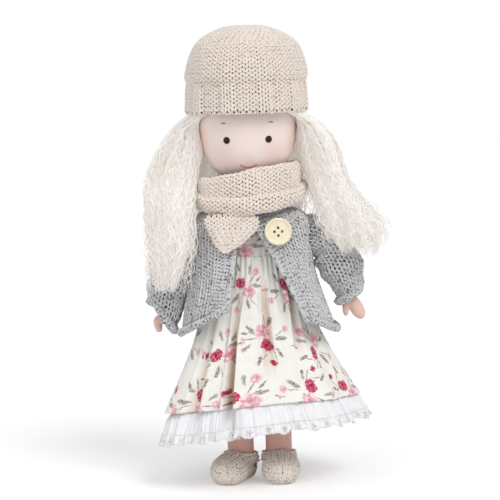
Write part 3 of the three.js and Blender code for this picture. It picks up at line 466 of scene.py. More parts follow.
def skin_material(name, base_code, warm_code, blush_and_shade=()):
    """Fine cotton jersey. The tinted places list middle and reach in mm, tint and strength: the cheeks'
    blush, and painted shade at the sides of the face.
    """
    glow = {"Subsurface_Weight": 0.12, "Subsurface_Radius": SKIN_DEPTH, "Subsurface_Scale": 0.4}
    g = Graph(name, Sheen_Weight=0.3, Sheen_Roughness=0.5, Specular_IOR_Level=0.2, **glow)
    spot = g.object_point()
    mottle = g.noise(spot, 0.35, 3, 0.5)
    base = g.mix(g.times(g.between(mottle, 0.35, 0.75), 0.15), colour(base_code), colour(warm_code))
    for centre, reach, tint, most in blush_and_shade:
        away = g.vector("DISTANCE", spot, tuple(place(centre) / MM))
        share = g.times(g.between(away, reach, 0.0), most)
        base = g.mix(share, base, colour(tint))
    stitch = g.noise(spot, 2.6, 2, 0.5)
    return g.finish(base, g.times_plus(stitch, 0.2, 0.55), g.bump(stitch, 0.06))


# The dark colours of the sheets behind the yarn are painted shade, seen in the holes between the loops.
HAT_YARN = yarn_material("hat_yarn", "fff6ee", "f5e6da", "dcc8b8", 0.3)
HAT_HOLE_SHADE = cloth_material("hat_hole_shade", "7b624d", "5a4635")
SCARF_YARN = yarn_material("scarf_yarn", "fff6ee", "f9e9de", "e5d1c3", 0.3)
SCARF_HOLE_SHADE = cloth_material("scarf_hole_shade", "866953", "66503e")
GREY_YARN = yarn_material("grey_yarn", "f2f2f3", "bcbcbe", "404043", 0.42, lay=2.4, depth=0.06, fine=0.5)
GREY_HOLE_SHADE = cloth_material("grey_hole_shade", "2a2a2c", "1a1a1b")
GREY_INSIDE = cloth_material("grey_inside", "b4b4b7", "77777b")
SLIPPER_YARN = yarn_material("slipper_yarn", "fff8ef", "f8eadd", "5d4738", 0.4, fine=0.75, depth=0.03)
SLIPPER_HOLE_SHADE = cloth_material("slipper_hole_shade", "7f6854", "5f4b3b")
HAIR = hair_material("hair_yarn", "yarn")


# Knitting

LOOP_STEPS = 12  # points along the yarn of one stitch
LOOP_SPREAD, LOOP_REACH = 0.22, 0.82  # a loop's swing sideways, and up and down from its row
LOOP_RISE = 0.72  # its swing off the surface, as a share of the yarn's radius
PURL, PLAIN = 1, -1  # the side that a stitch shows: its bump, or its two legs


def outward(surface, share, row):
    across = surface(share + 0.001, row) - surface(share - 0.001, row)
    up = surface(share, row + 0.05) - surface(share, row - 0.05)
    return unit(np.cross(across, up))


def knit(yarns, surface, rows, stitches_at, yarn, side_at, closed=True, keep=None):
    """Rows of knitted loops on surface(share, row), where share runs along a row from 0 to 1.

    keep(points) leaves out the stretches of yarn that would lie in a hole.
    """
    rng = np.random.default_rng(7)
    for row in rows:
        count = stitches_at(row)
        t = TAU * np.arange(count * LOOP_STEPS + (not closed)) / LOOP_STEPS
        stitch = np.floor(t / TAU + 0.5).astype(int) % count
        uneven = rng.normal(0, 0.05, (2, count))[:, stitch]
        side = np.broadcast_to(side_at(stitch, row), t.shape).astype(float)
        side = sum(np.roll(side, k) for k in (-2, -1, 0, 1, 2)) / 5
        share = (t / TAU + LOOP_SPREAD * np.sin(2 * t) + 0.5 * uneven[0] * np.cos(t / 2) ** 2) / count
        height = row + LOOP_REACH * np.cos(t) + uneven[1]
        normal = outward(surface, share, height)
        centre = surface(share, height) + normal * (side * np.cos(2 * t) * LOOP_RISE * yarn)[:, None]
        if keep is None:
            yarns.add(centre[None], normal[None], yarn, closed=closed)
            continue
        kept = np.concatenate([[False], keep(centre), [False]])
        starts = np.flatnonzero(kept[1:] & ~kept[:-1])
        ends = np.flatnonzero(~kept[1:] & kept[:-1])
        for start, end in zip(starts, ends):
            if end - start > 3:
                yarns.add(centre[None, start:end], normal[None, start:end], yarn)


def make_shade_backing(name, surface, shares, rows, inset, material, around=True, thick=0.5, inside=None):
    """A sheet behind the loops, whose dark outer face is painted shade that shows in the holes between them.
    """
    share, row = np.meshgrid(shares, rows)
    points = surface(share, row) - inset * outward(surface, share, row)
    return grid_object(name, points, material, around, thick=thick, inside=inside)


def knitted(name, yarns, finish, shade_backing, body, slot, flat, held, rests_on, trim=None):
    """Loops of yarn and the sheet behind them, put in place of node name, which is hidden.

    The sheet's arguments after its name come as one tuple, and trim cuts the sheet to shape. The sheet's
    dark face is painted shade in the holes.
    """
    pieces = yarns.pieces(f"{name}_yarn", finish)
    back = make_shade_backing(f"{name}_fabric", *shade_backing)
    if trim:
        trim(back)
    settle([back, *pieces], body, slot, name)


def arc_table(points):
    """Lengths along a run of points."""
    return np.concatenate([[0], np.cumsum(np.linalg.norm(np.diff(points, axis=0), axis=1))])


def shares_round(count):
    return np.arange(count) / count


# Head, body and limbs of stuffed jersey

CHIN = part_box("head_skin")[0].z / MM
HEAD_UP = [0, 3, 7, 13, 22, 32, 44, 56, 69, 81, 88, 90]
HEAD_ACROSS = [10.6, 14.5, 19, 24.5, 29, 31.4, 32, 31, 27.5, 19.5, 9.5, 0.4]
HEAD_DEEP = [10.4, 14, 18.5, 24, 28.5, 30.5, 31, 30.5, 27.5, 20, 10, 0.4]
CHEEK = {"apart": 34, "up": 20.5, "reach": 13}
NOSE = {"up": 23.5, "wide": 3.2, "rise": 0.9}

# Painted shade: a warm tan at the sides of the face, where it turns away from the light. The cheeks' pink is
# blush.
FACE_EDGE_SHADE = {"apart": 66, "up": 30, "reach": 17}
BLUSH_AND_EDGE_SHADE = [
    ((side * at["apart"] / 2, y, CHIN + at["up"]), at["reach"], tint, most)
    for at, y, tint, most in ((CHEEK, -25.5, "f4c6be", 0.34), (FACE_EDGE_SHADE, -6, "eab592", 0.7))
    for side in (1, -1)
]
FACE_SKIN = skin_material("face_jersey", "ffece6", "fbd9d1", BLUSH_AND_EDGE_SHADE)
LIMB_SKIN = skin_material("limb_jersey", "f0cdbf", "e4ad9d")
LEG_SKIN = skin_material("leg_jersey", "edbeb1", "dc9f90")


def head_size(up):
    return steady(HEAD_UP, HEAD_ACROSS, up), steady(HEAD_UP, HEAD_DEEP, up)


def on_head(x, up, lift=0.0):
    """Points on the front of the head, and the way they face."""
    across, deep = head_size(up)
    y = -deep * np.sqrt(np.maximum(1 - (x / across) ** 2, 0.001))
    out = unit(xyz(x / across**2, y / deep**2, 0))
    return xyz(x, y, CHIN + up) + lift * out, out


def make_head():
    top = HEAD_UP[-1]
    up = top * (1 - np.cos(np.linspace(0, math.pi, 90))) / 2
    angle = TAU * shares_round(112)
    across, deep = (s[:, None] for s in head_size(up))
    points = oval(across, deep, angle, CHIN + up[:, None])
    near = np.hypot(points[..., 0], up[:, None] - NOSE["up"])
    points[..., 1] -= NOSE["rise"] * hump(near, NOSE["wide"]) * (points[..., 1] < 0)
    head = grid_object("head_jersey", points, FACE_SKIN)
    settle(head, "head", "skin", "head_skin", "head_stuffing")


BODY = np.array(
    [
        [116, 11, 7.5],
        [121, 22, 15],
        [128, 25, 17.5],
        [152, 24.5, 17],
        [163, 29, 16.5],
        [174, 22, 14],
        [182, 13, 12],
        [189.5, 12, 11.5],
        [197, 12, 11.5],
    ]
)


BODY_FLAT = 28.8  # the shoulders are flat beyond this, where the arms sit


def body_size(z):
    return steady(BODY[:, 0], BODY[:, 1], z), steady(BODY[:, 0], BODY[:, 2], z)


def make_body():
    z = np.linspace(BODY[0, 0], BODY[-1, 0], 70)
    angle = TAU * shares_round(64)
    across, deep = (s[:, None] for s in body_size(z))
    points = oval(across, deep, angle, z[:, None])
    points[..., 0] = np.clip(points[..., 0], -BODY_FLAT, BODY_FLAT)
    foot = points[:1].mean(1, keepdims=True) + 0 * points[:1]
    body = grid_object("body_jersey", np.concatenate([foot, points]), LIMB_SKIN)
    settle(body, "torso", "skin", "torso_skin", "torso_stuffing")


SHOULDER = {"x": 29, "z": 163}
SEAM_OUT = 12  # from the shoulder joint to the sleeve's seam
ARMS = {
    "left": {
        "side": 1,
        "tip": (43, 55.5),
        "palm": (38.9, 48),
        "thumb": (32.4, 52.8),
        "hand": {"across": 4.6, "deep": 4.3, "thumb": 2.2},
        "puff": 14,
        "inward": 0.9,
        "cuff": (34.8, 40.5),
        "cuff_radius": 8,
        "face_out": 0.5,
    },
    "right": {
        "side": -1,
        "tip": (33.6, 60.6),
        "palm": (34.2, 54),
        "thumb": (33.4, 55),
        "hand": {"across": 2.9, "deep": 3.6, "thumb": 1.8},
        "puff": 12.8,
        "inward": 1.2,
        "cuff": (29.6, 49.5),
        "cuff_radius": 12.6,
        "face_out": 0.86,
    },
}


def off_shoulder(arm, out, drop):
    return np.array([arm["side"] * (SHOULDER["x"] + out), 0, SHOULDER["z"] - drop])


def arm_line(arm):
    out, drop = arm["cuff"]
    return {
        "bend": off_shoulder(arm, SEAM_OUT + 10, 6),
        "elbow": off_shoulder(arm, lerp(SEAM_OUT, out, 0.62) + 4, drop * 0.5),
        "wrist": off_shoulder(arm, out, drop * 0.86),
        "cuff": off_shoulder(arm, out, drop),
        "tip": off_shoulder(arm, *arm["tip"]),
    }


def closed_tube(name, centre, across, deep, count, material):
    """Rings of points round a line, closed at both ends."""
    facing = unit(np.gradient(centre, axis=0))
    first = unit(np.cross(BACK, facing))
    second = np.cross(facing, first)
    angle = TAU * shares_round(count)
    wide = across[:, None, None] * np.cos(angle)[None, :, None] * first[:, None]
    tall = deep[:, None, None] * np.sin(angle)[None, :, None] * second[:, None]
    points = centre[:, None] + wide + tall
    ends = [p.mean(0, keepdims=True)[None] + 0 * points[:1] for p in (points[0], points[-1])]
    return grid_object(name, np.concatenate([ends[0], points, ends[1]]), material)


def fused(name, parts, voxel, smoothing):
    """Closed forms grown together into one smooth skin."""
    bpy.ops.object.select_all(action="DESELECT")
    for part in parts:
        part.select_set(True)
    bpy.context.view_layer.objects.active = parts[0]
    bpy.ops.object.join()
    made = parts[0]
    made.name = name
    remesh = made.modifiers.new("skin", "REMESH")
    remesh.voxel_size = voxel * MM
    remesh.use_smooth_shade = True
    soften = made.modifiers.new("soften", "SMOOTH")
    soften.iterations = smoothing
    return applied(made)


def make_arm(word, arm):
    line, hand = arm_line(arm), arm["hand"]
    palm = off_shoulder(arm, *arm["palm"])
    knuckle = lerp(palm, line["tip"], 0.68)
    beyond = lerp(palm, line["tip"], 1.14)
    stations = [
        [*off_shoulder(arm, 0.3, 0), 8, 8],
        [*off_shoulder(arm, SEAM_OUT - 0.3, 0), 8, 8],
        [*lerp(line["bend"], off_shoulder(arm, SEAM_OUT, 0.6), 0.15), 7, 7],
        [*line["elbow"], 7, 7],
        [*line["cuff"], 4.4, 4.4],
        [*palm, hand["across"], hand["deep"]],
        [*knuckle, hand["across"] * 0.88, hand["deep"] * 0.85],
        [*beyond, 1.6, 1.4],
    ]
    at = run(stations, np.linspace(0, 1, 60))
    limb = closed_tube(f"{word}_arm_form", at[:, :3], at[:, 3], at[:, 4], 28, LIMB_SKIN)
    forward = np.array([0, -hand["deep"] / 2, 0])
    out, drop = arm["cuff"]
    root = off_shoulder(arm, out - 2.6, drop - 1) + forward * 0.5
    end = off_shoulder(arm, *arm["thumb"]) + forward
    share = np.linspace(-0.12, 1.12, 24)
    radius = hand["thumb"] * np.sqrt(np.maximum(1 - np.abs((share - 0.5) / 0.63) ** 4, 0.02))
    along = lerp(root, end, share[:, None])
    thumb = closed_tube(f"{word}_thumb_form", along, radius, radius, 20, LIMB_SKIN)
    skin = fused(f"{word}_arm_jersey", [limb, thumb], 0.45, 5)
    settle(skin, f"{word}_arm", "skin", f"{word}_arm_skin", f"{word}_arm_stuffing")


HIP_Z = 107
LEGS = {"left": {"x": 14.5, "turn": 3}, "right": {"x": -11.0, "turn": -30}}
LEG_Y = 5
LEG_RADIUS = 8.8
SLIPPER_WOOL = 3.3
FOOT = {"heel": 7.4, "toe": 10.1, "ahead": 15.5, "instep": 15, "toe_top": 13.4}


def stand(leg, points):
    """Points of a foot or leg turned and moved to where it stands."""
    turn = math.radians(leg["turn"])
    x, y, z = np.moveaxis(points, -1, 0)
    return xyz(
        leg["x"] + x * math.cos(turn) - y * math.sin(turn),
        LEG_Y + x * math.sin(turn) + y * math.cos(turn),
        z,
    )


def foot_surface(grow, floor):
    """A foot as rings from heel to toe: surface(share, along), with along from 0 to 1."""
    heel, toe = FOOT["heel"] + grow, FOOT["toe"] + grow
    instep, toe_top = FOOT["instep"] + 2 * grow, FOOT["toe_top"] + 2 * grow
    under = -1.8
    ahead = FOOT["ahead"]
    stations = [
        [heel, heel * 0.06, instep * 0.42, instep * 0.48],
        [heel * 0.95, heel * 0.45, instep * 0.2, instep * 0.68],
        [heel * 0.7, heel * 0.82, under, instep * 0.82],
        [0, heel, under, instep],
        [-ahead * 0.55, (heel + toe) / 2, under, instep],
        [-ahead, toe, under, toe_top],
        [-ahead - toe * 0.55, toe * 0.84, under, toe_top * 0.88],
        [-ahead - toe * 0.9, toe * 0.45, toe_top * 0.16, toe_top * 0.7],
        [-ahead - toe, toe * 0.05, toe_top * 0.42, toe_top * 0.48],
    ]
    table = run(stations, np.linspace(0, 1, 200))
    arc = arc_table(table[:, [0, 1]])

    def surface(share, along):
        y, wide, low, high = (np.interp(along * arc[-1], arc, table[:, i]) for i in range(4))
        angle = TAU * share
        x = wide * np.cos(angle)
        up = (low + high) / 2 + (high - low) / 2 * np.sin(angle)
        return xyz(x, y, floor + np.maximum(up, 0))

    return surface, arc[-1]


def make_leg(word, leg):
    z = np.linspace(8, HIP_Z, 70)
    wrinkle = 0.22 * np.sin(z * 1.9) * smooth(z, 60, 22)
    dome = np.linspace(0.05, 1, 10) * math.pi / 2
    z = np.concatenate([z, HIP_Z + LEG_RADIUS * np.sin(dome)])
    radius = np.concatenate([LEG_RADIUS + wrinkle, LEG_RADIUS * np.cos(dome) + 0.05])
    shank = closed_tube(f"{word}_shank_form", xyz(0, 0, z), radius, radius, 36, LEG_SKIN)
    surface, _ = foot_surface(0, SLIPPER_WOOL)
    share, along = np.meshgrid(shares_round(28), np.linspace(0, 1, 40))
    foot = grid_object(f"{word}_foot_form", surface(share, along)[::-1], LEG_SKIN)
    for form in (shank, foot):
        moved = np.array([v.co for v in form.data.vertices], float)
        moved = place(stand(leg, (moved - AXIS) / MM))
        form.data.vertices.foreach_set("co", moved.astype(np.float32).ravel())
    skin = fused(f"{word}_leg_jersey", [shank, foot], 1.0, 3)
    settle(skin, f"{word}_leg", "skin", f"{word}_leg_skin", f"{word}_leg_stuffing")


make_head()
make_body()
for side_word, side_arm in ARMS.items():
    make_arm(side_word, side_arm)
for side_word, side_leg in LEGS.items():
    make_leg(side_word, side_leg)


# Face

EYE = {"apart": 27, "up": 30.9, "radius": 2.3, "dome": 1.5}
BROW = {"apart": 30.4, "up": 41.4, "long": 2.9, "rise": 0.5}
MOUTH = {"up": 15.2, "wide": 11.4, "sag": 2.2}
FACE_THREAD = 0.36


def bead_material():
    g = Graph("eye_bead", Roughness=0.4, Specular_IOR_Level=0.2)
    grain = g.noise(g.object_point(), 1.4, 3, 0.6)
    base = g.ramp(grain, 0.3, 0.75, "1c110d", "38241c")
    return g.finish(base, None, g.bump(grain, 0.05))


EYE_BEAD = bead_material()
MOUTH_THREAD = thread_material("mouth_thread", "d4807a", "bd635f", "a34b4a", 1.1)
BROW_THREAD = thread_material("brow_thread", "b98d78", "9c705d", "86594a", 1.1)


def make_eye(word, side):
    x = side * EYE["apart"] / 2
    middle, out = on_head(np.array(x), np.array(EYE["up"]), -0.15)
    right, over = plane_facing(out)
    tilt = np.linspace(0, math.pi / 2, 16)
    angle = TAU * shares_round(36)
    wide = EYE["radius"] * np.cos(tilt)[:, None, None]
    high = EYE["dome"] * np.sin(tilt)[:, None, None]
    points = middle + wide * turned_in(angle, right, over) + high * out
    settle(grid_object(f"{word}_eye_bead", points, EYE_BEAD), "head", "eye_bead", f"{word}_eye")


def face_stitch(name, x, up, material, slot, node):
    points, out = on_head(x, up, 0.16)
    thread = Yarns()
    swell = FACE_THREAD * np.sqrt(np.maximum(1 - np.linspace(-1, 1, len(x)) ** 8, 0.02))
    thread.add(points[None], out[None], swell[None], sides=8)
    settle(thread.pieces(name, material), "head", slot, node)


def make_face():
    for word, side in (("left", 1), ("right", -1)):
        make_eye(word, side)
        share = np.linspace(-0.5, 0.5, 16)
        x = side * BROW["apart"] / 2 + BROW["long"] * share
        up = BROW["up"] + BROW["rise"] * (1 - 4 * share**2) - 0.4 * side * share
        face_stitch(f"{word}_brow_thread", x, up, BROW_THREAD, "brow_thread", f"{word}_brow_stitch")
    x = np.linspace(-0.5, 0.5, 60) * MOUTH["wide"]
    up = MOUTH["up"] - MOUTH["sag"] * (1 - (2 * x / MOUTH["wide"]) ** 2)
    face_stitch("mouth_thread", x, up, MOUTH_THREAD, "mouth_thread", "mouth_stitch")


make_face()


# Hat

HAT_FORM = [[40, 50], [39.6, 63], [40.6, 74], [33.5, 92.5], [16.75, 101.9], [0.4, 103.2]]
HAT_YARN_RADIUS = 0.8
HAT_ROW = 2.7
HAT_STITCHES = 60
HAT_RIB = {"rows": 6, "repeat": 6, "plain": 2}
HAT_PINCH = {"up": 67, "deep": 0.9, "reach": 3.5}
HAT_SINK = 1.5  # from the solid's surface in to the middle of the yarn
HAT_LOOSE = ((56, 75), (103, 88))  # heights over which its lumps begin and end
HAT_FLAT = (0.240, 0.078)  # the tube it is knitted as, cast-on round by length


def hat_surface():
    table = run(HAT_FORM, np.linspace(0, 1, 400))
    arc = arc_table(table)
    rng = np.random.default_rng(3)
    lumps = rng.uniform(0, TAU, 4)

    def surface(share, row):
        along = np.clip(row * HAT_ROW, -2, arc[-1])
        radius = np.interp(along, arc, table[:, 0]) - HAT_SINK
        up = np.interp(along, arc, table[:, 1]) + np.minimum(along, 0)
        angle = TAU * share
        pinch = HAT_PINCH["deep"] * hump(up - HAT_PINCH["up"], HAT_PINCH["reach"])
        soft = smooth(up, *HAT_LOOSE[0]) * smooth(up, *HAT_LOOSE[1])
        ribbed = smooth(row, HAT_RIB["rows"] + 1, HAT_RIB["rows"] - 0.5)
        beside = np.abs((share * HAT_STITCHES + 2.5) % HAT_RIB["repeat"] - 3)
        rib = ribbed * (0.9 * smooth(beside, 1.5, 0.7) - 0.6 * hump(beside - 1.6, 0.4))
        lump = 0.7 * np.sin(3 * angle + lumps[0]) + 0.5 * np.sin(5 * angle + up * 0.06 + lumps[1])
        radius = np.maximum(radius - pinch + soft * lump + rib, 0.2)
        angle = angle - 0.5 * TAU / HAT_STITCHES
        return oval(radius, radius, angle, CHIN + up)

    return surface, arc, table


def make_hat():
    surface, arc, table = hat_surface()
    rows = int(arc[-1] / HAT_ROW)

    def stitches_at(row):
        radius = np.interp(row * HAT_ROW, arc, table[:, 0])
        return HAT_STITCHES if radius > 33 else max(6, 3 * round(TAU * radius / 3 / 4.1))

    def side_at(stitch, row):
        if row > HAT_RIB["rows"]:
            return PURL
        return np.where(stitch % HAT_RIB["repeat"] < HAT_RIB["plain"], PLAIN, PURL)

    yarns = Yarns()
    knit(yarns, surface, range(rows + 1), stitches_at, HAT_YARN_RADIUS, side_at)
    shade_backing = (surface, shares_round(120), np.linspace(-0.5, rows + 0.6, 70), 0.7, HAT_HOLE_SHADE)
    knitted("hat", yarns, HAT_YARN, shade_backing, "hat", "hat_knit", HAT_FLAT, "stretched", "head_jersey")


make_hat()


# Scarf

SCARF_PATH = (30.7, 29.2)
SCARF_THICK = 10
SCARF_YARN_RADIUS = 0.8
SCARF_ROW = 2.7
# A wrap's middle rises to the doll's left, to the back, and again at its left side.
# Its height is nipped at the back.
WRAPS = {
    "upper": {"out": 0, "tall": 24, "full": 0.86, "nip": 0.14, "z": 197.4, "rises": (5, 0, 0)},
    "lower": {"out": 2.8, "tall": 13, "full": 1, "nip": 0, "z": 189, "rises": (0, 3.5, 2)},
}
WRAP_STITCHES = {"upper": 52, "lower": 54}


def wrap_surface(wrap):
    inset = SCARF_YARN_RADIUS + 0.6
    turn = np.linspace(-0.3, 1.3, 300) * math.pi
    up = power(np.cos(turn), 0.9) * (wrap["tall"] / 2 - inset)
    out = power(np.sin(turn), 0.9) * (SCARF_THICK / 2 - inset)
    arc = arc_table(np.stack([up, out], 1))

    def surface(share, row):
        along = arc[-1] - row * SCARF_ROW
        rise = np.interp(along, arc, up) / wrap["tall"]
        side = np.interp(along, arc, out)
        angle = TAU * share
        x, y = np.cos(angle), np.sin(angle)
        left, back, over = wrap["rises"]
        middle = wrap["z"] + left * x + back * y + over * (x + np.abs(x))
        tall = wrap["tall"] * (wrap["full"] - wrap["nip"] * y)
        sag = 0.7 * np.sin(4 * angle + 0.5) + 0.5 * np.sin(9 * angle + 2)
        side = side + wrap["out"] + 1.6 * rise + 0.45 * np.sin(7 * angle + rise * 5)
        z = middle + rise * tall + sag * 0.6
        return oval(SCARF_PATH[0] + side, SCARF_PATH[1] + side, angle, z)

    return surface, int(arc[-1] / SCARF_ROW)


def make_scarf():
    yarns, backs = Yarns(), []
    for name, count in WRAP_STITCHES.items():
        surface, rows = wrap_surface(WRAPS[name])
        knit(yarns, surface, range(rows + 1), lambda _, n=count: n, SCARF_YARN_RADIUS, lambda s, r: PURL)
        shade_backing = (surface, shares_round(160), np.linspace(0, rows, 40), 0.6, SCARF_HOLE_SHADE)
        backs.append(make_shade_backing(f"scarf_{name}_fabric", *shade_backing))
    pieces = yarns.pieces("scarf_yarn", SCARF_YARN)
    settle([*backs, *pieces], "torso", "scarf_knit", "scarf")


TAIL = {"top": 181, "tip": 155.4, "y": -30.6, "thick": 6.4}
TAIL_EDGES = {  # shares of the way down, and how far across
    "right": (
        (0, 0.12, 0.28, 0.45, 0.76, 0.93, 1),
        (-28.9, -29.8, -29.2, -27.2, -23.6, -19.6, -16.6),
    ),
    "left": (
        (0, 0.14, 0.33, 0.54, 0.72, 0.86, 0.95, 1),
        (3.6, 6.4, 5.6, 0.8, -4, -10, -14, -16.2),
    ),
}
TAIL_FLAT = (0.036, 0.036)  # folded double


def tail_sides(down):
    """Across places of the loose end's right and left edges, at shares of the way down."""
    return [steady(*edge, down) for edge in TAIL_EDGES.values()]


def make_tail():
    rows = 10

    def surface(share, row):
        down = np.clip(1 - row / rows, 0, 1)
        right, left = tail_sides(down)
        across = 2 * np.abs(2 * (share % 1) - 1) - 1
        through = np.sign(0.5 - share % 1) * np.sqrt(np.maximum(1 - np.abs(across) ** 2.4, 0))
        half = np.maximum((left - right) / 2 - SCARF_YARN_RADIUS, 0.5)
        deep = (TAIL["thick"] / 2 - 1.0) * (0.55 + 0.45 * np.sin(math.pi * np.minimum(down + 0.15, 1)))
        wave = (0.7 * np.sin(across * 3.2 + down * 2) + 0.5 * np.cos(across * 6)) * smooth(down, 0, 0.4)
        fall = lerp(TAIL["top"], TAIL["tip"], down) - 0.8 * across**2 * (1 - down)
        return xyz((left + right) / 2 + half * across, TAIL["y"] + deep * through + wave, fall)

    def stitches_at(row):
        right, left = tail_sides(1 - row / rows)
        return max(4, 2 * round((left - right) / 3.9))

    yarns = Yarns()
    knit(yarns, surface, np.arange(0.3, rows + 0.1), stitches_at, SCARF_YARN_RADIUS, lambda s, r: PURL)
    shade_backing = (surface, shares_round(64), np.linspace(0.2, rows, 30), 0.5, SCARF_HOLE_SHADE)
    finish = ("scarf_end", "scarf_knit", TAIL_FLAT, "folded", "scarf_lower_fabric")
    knitted("scarf_tail", yarns, SCARF_YARN, shade_backing, *finish)


make_scarf()
make_tail()


# Cardigan

CARDIGAN = np.array(  # height, half width and half depth
    [[101, 50.5, 40.5], [148.6, 41, 31], [170.2, 41, 28.5], [177.4, 36, 24.5], [184, 19, 17.5]]
)
CARDIGAN_HEM, CARDIGAN_WAIST, CARDIGAN_TOP = CARDIGAN[[0, 1, -1], 0]
CARDIGAN_DRIFT = 4  # the hem hangs this far to the doll's left
CARDIGAN_ROW = 2.9
GREY_RADIUS = 0.8
GREY_SINK = 1.3  # from the solid's surface in to the middle of the yarn
SEAM_GAP = 0.012  # radians between a side seam and the panels
SQUARENESS = 2 / 2.8
FRONTS = {
    "left": {"top": -4, "middle": 20, "hem": 38, "rise": 11.5},
    "right": {"top": -8, "middle": -12.5, "hem": -20, "rise": 19.5},
}
ARMHOLE = 13.8
EDGE_TWIST = 0.62  # radians from step to step of the two yarns twisted along a front's edge
HEM_ROLL = {"rows": 3, "radius": 1.7}
CARDIGAN_STITCHES = {"back": 28, "left": 10, "right": 10}
CARDIGAN_FLATS = {"back": (0.128, 0.100), "left": (0.046, 0.090), "right": (0.050, 0.090)}


def hem_roll(along):
    """How far a rolled edge stands out and drops, at lengths along the knitting that are below 0."""
    rolled = np.clip(-along, 0, None) / HEM_ROLL["radius"]
    return HEM_ROLL["radius"] * (1 - np.cos(rolled)), HEM_ROLL["radius"] * np.sin(rolled)


def hem_drift(z):
    return CARDIGAN_DRIFT * np.clip((CARDIGAN_WAIST - z) / (CARDIGAN_WAIST - CARDIGAN_HEM), 0, 1)


def cardigan_point(angle, z):
    across, deep = (steady(CARDIGAN[:, 0], CARDIGAN[:, i], z) - GREY_SINK for i in (1, 2))
    drift = hem_drift(z)
    slack = smooth(z, 168, 120)
    ripple = slack * (0.9 * np.sin(6 * angle + 0.4) + 0.7 * np.sin(11 * angle + z * 0.03))
    x = drift + (across + ripple) * power(np.cos(angle), SQUARENESS)
    return xyz(x, (deep + ripple) * power(np.sin(angle), SQUARENESS), z)


GIRTH_ANGLE = np.linspace(0, TAU, 4001)
GIRTH = arc_table(cardigan_point(GIRTH_ANGLE, CARDIGAN_WAIST))
PROFILE_Z = np.linspace(CARDIGAN_HEM, CARDIGAN_TOP, 400)
PROFILE = arc_table(np.stack([steady(CARDIGAN[:, 0], CARDIGAN[:, 1], PROFILE_Z), PROFILE_Z], 1))


def front_angle(x, z):
    across = steady(CARDIGAN[:, 0], CARDIGAN[:, 1], z) - GREY_SINK
    return TAU - np.arccos(power(np.clip((x - hem_drift(z)) / across, -0.98, 0.98), 1 / SQUARENESS))


def front_edge(front, z):
    """Across place of a front's inner edge at a height."""
    t = np.clip((CARDIGAN_TOP - z) / (CARDIGAN_TOP - CARDIGAN_HEM), 0, 1)
    bend = 2 * front["middle"] - (front["top"] + front["hem"]) / 2
    return (1 - t) ** 2 * front["top"] + 2 * t * (1 - t) * bend + t * t * front["hem"]


def cardigan_surface(panel):
    def limits(z):
        if panel == "back":
            return np.full_like(z, SEAM_GAP), np.full_like(z, math.pi - SEAM_GAP)
        inner = front_angle(front_edge(FRONTS[panel], z), z)
        if panel == "left":
            return inner, np.full_like(z, TAU - SEAM_GAP)
        return np.full_like(z, math.pi + SEAM_GAP), inner

    def surface(share, row):
        share, row = np.broadcast_arrays(np.asarray(share, float), np.asarray(row, float))
        along = np.clip(row, 0, None) * CARDIGAN_ROW
        z = np.interp(along, PROFILE, PROFILE_Z)
        if panel != "back":
            towards = np.clip(share if panel == "right" else 1 - share, 0, 1)
            lift = FRONTS[panel]["rise"] * towards**1.5
            z = z + lift * (1 - (z - CARDIGAN_HEM) / (CARDIGAN_TOP - CARDIGAN_HEM))
        low, high = (np.interp(a, GIRTH_ANGLE, GIRTH) for a in limits(z))
        angle = np.interp(lerp(low, high, share), GIRTH, GIRTH_ANGLE)
        points = cardigan_point(angle, z)
        out, drop = hem_roll(row * CARDIGAN_ROW)
        points = points + out[..., None] * unit(oval(1, 1, angle, 0))
        points[..., 2] -= drop
        return points

    return surface


def in_armhole(points):
    near = np.hypot(points[..., 1], points[..., 2] - SHOULDER["z"])
    return (near < ARMHOLE) & (np.abs(points[..., 0]) > 30)


def make_cardigan():
    rows = int(PROFILE[-1] / CARDIGAN_ROW)
    for panel, count in CARDIGAN_STITCHES.items():
        surface = cardigan_surface(panel)
        bands = {"back": (), "left": (0, 1), "right": (count - 2, count - 1)}  # purled front edges

        def side_at(stitch, row, band=bands[panel]):
            return np.where(np.isin(stitch, band) if row > 1 else True, PURL, PLAIN)

        yarns = Yarns()
        knit(
            yarns,
            surface,
            range(-HEM_ROLL["rows"], rows + 1),
            lambda _, n=count: n,
            GREY_RADIUS,
            side_at,
            closed=False,
            keep=lambda p: ~in_armhole(p),
        )
        if panel != "back":
            row = np.linspace(-1.5, rows, 400)
            edge = surface(np.full_like(row, 0.0 if panel == "left" else 1.0), row)
            side = unit(np.cross(np.gradient(edge, axis=0), FRONT))
            for turn in (0, math.pi):
                around = turned_in(np.arange(len(row)) * EDGE_TWIST + turn, side, FRONT)
                yarns.add((edge + 0.75 * around)[None], FRONT, GREY_RADIUS)
        name = "cardigan_back" if panel == "back" else f"cardigan_{panel}_front"
        shares, heights = np.linspace(0, 1, 2 * count), np.linspace(-0.6, rows, 60)
        shade_backing = (surface, shares, heights, 0.55, GREY_HOLE_SHADE, False, 0.4, GREY_INSIDE)
        finish = ("torso", "grey_knit", CARDIGAN_FLATS[panel], "hung", "body_jersey")
        knitted(name, yarns, GREY_YARN, shade_backing, *finish, cut_armhole)


def cut_armhole(shade_backing):
    """Takes out the faces of a panel that lie in an armhole."""
    points = np.array([v.co for v in shade_backing.data.vertices], float)
    inside = in_armhole((points - AXIS) / MM)
    drop_faces(shade_backing, [all(inside[v] for v in p.vertices) for p in shade_backing.data.polygons])


SLEEVE_STITCHES = 17
SLEEVE_ROW = 3.0
SLEEVE_TOP = 14.4
SLEEVE_FLATS = {"left": (0.088, 0.058), "right": (0.086, 0.066)}


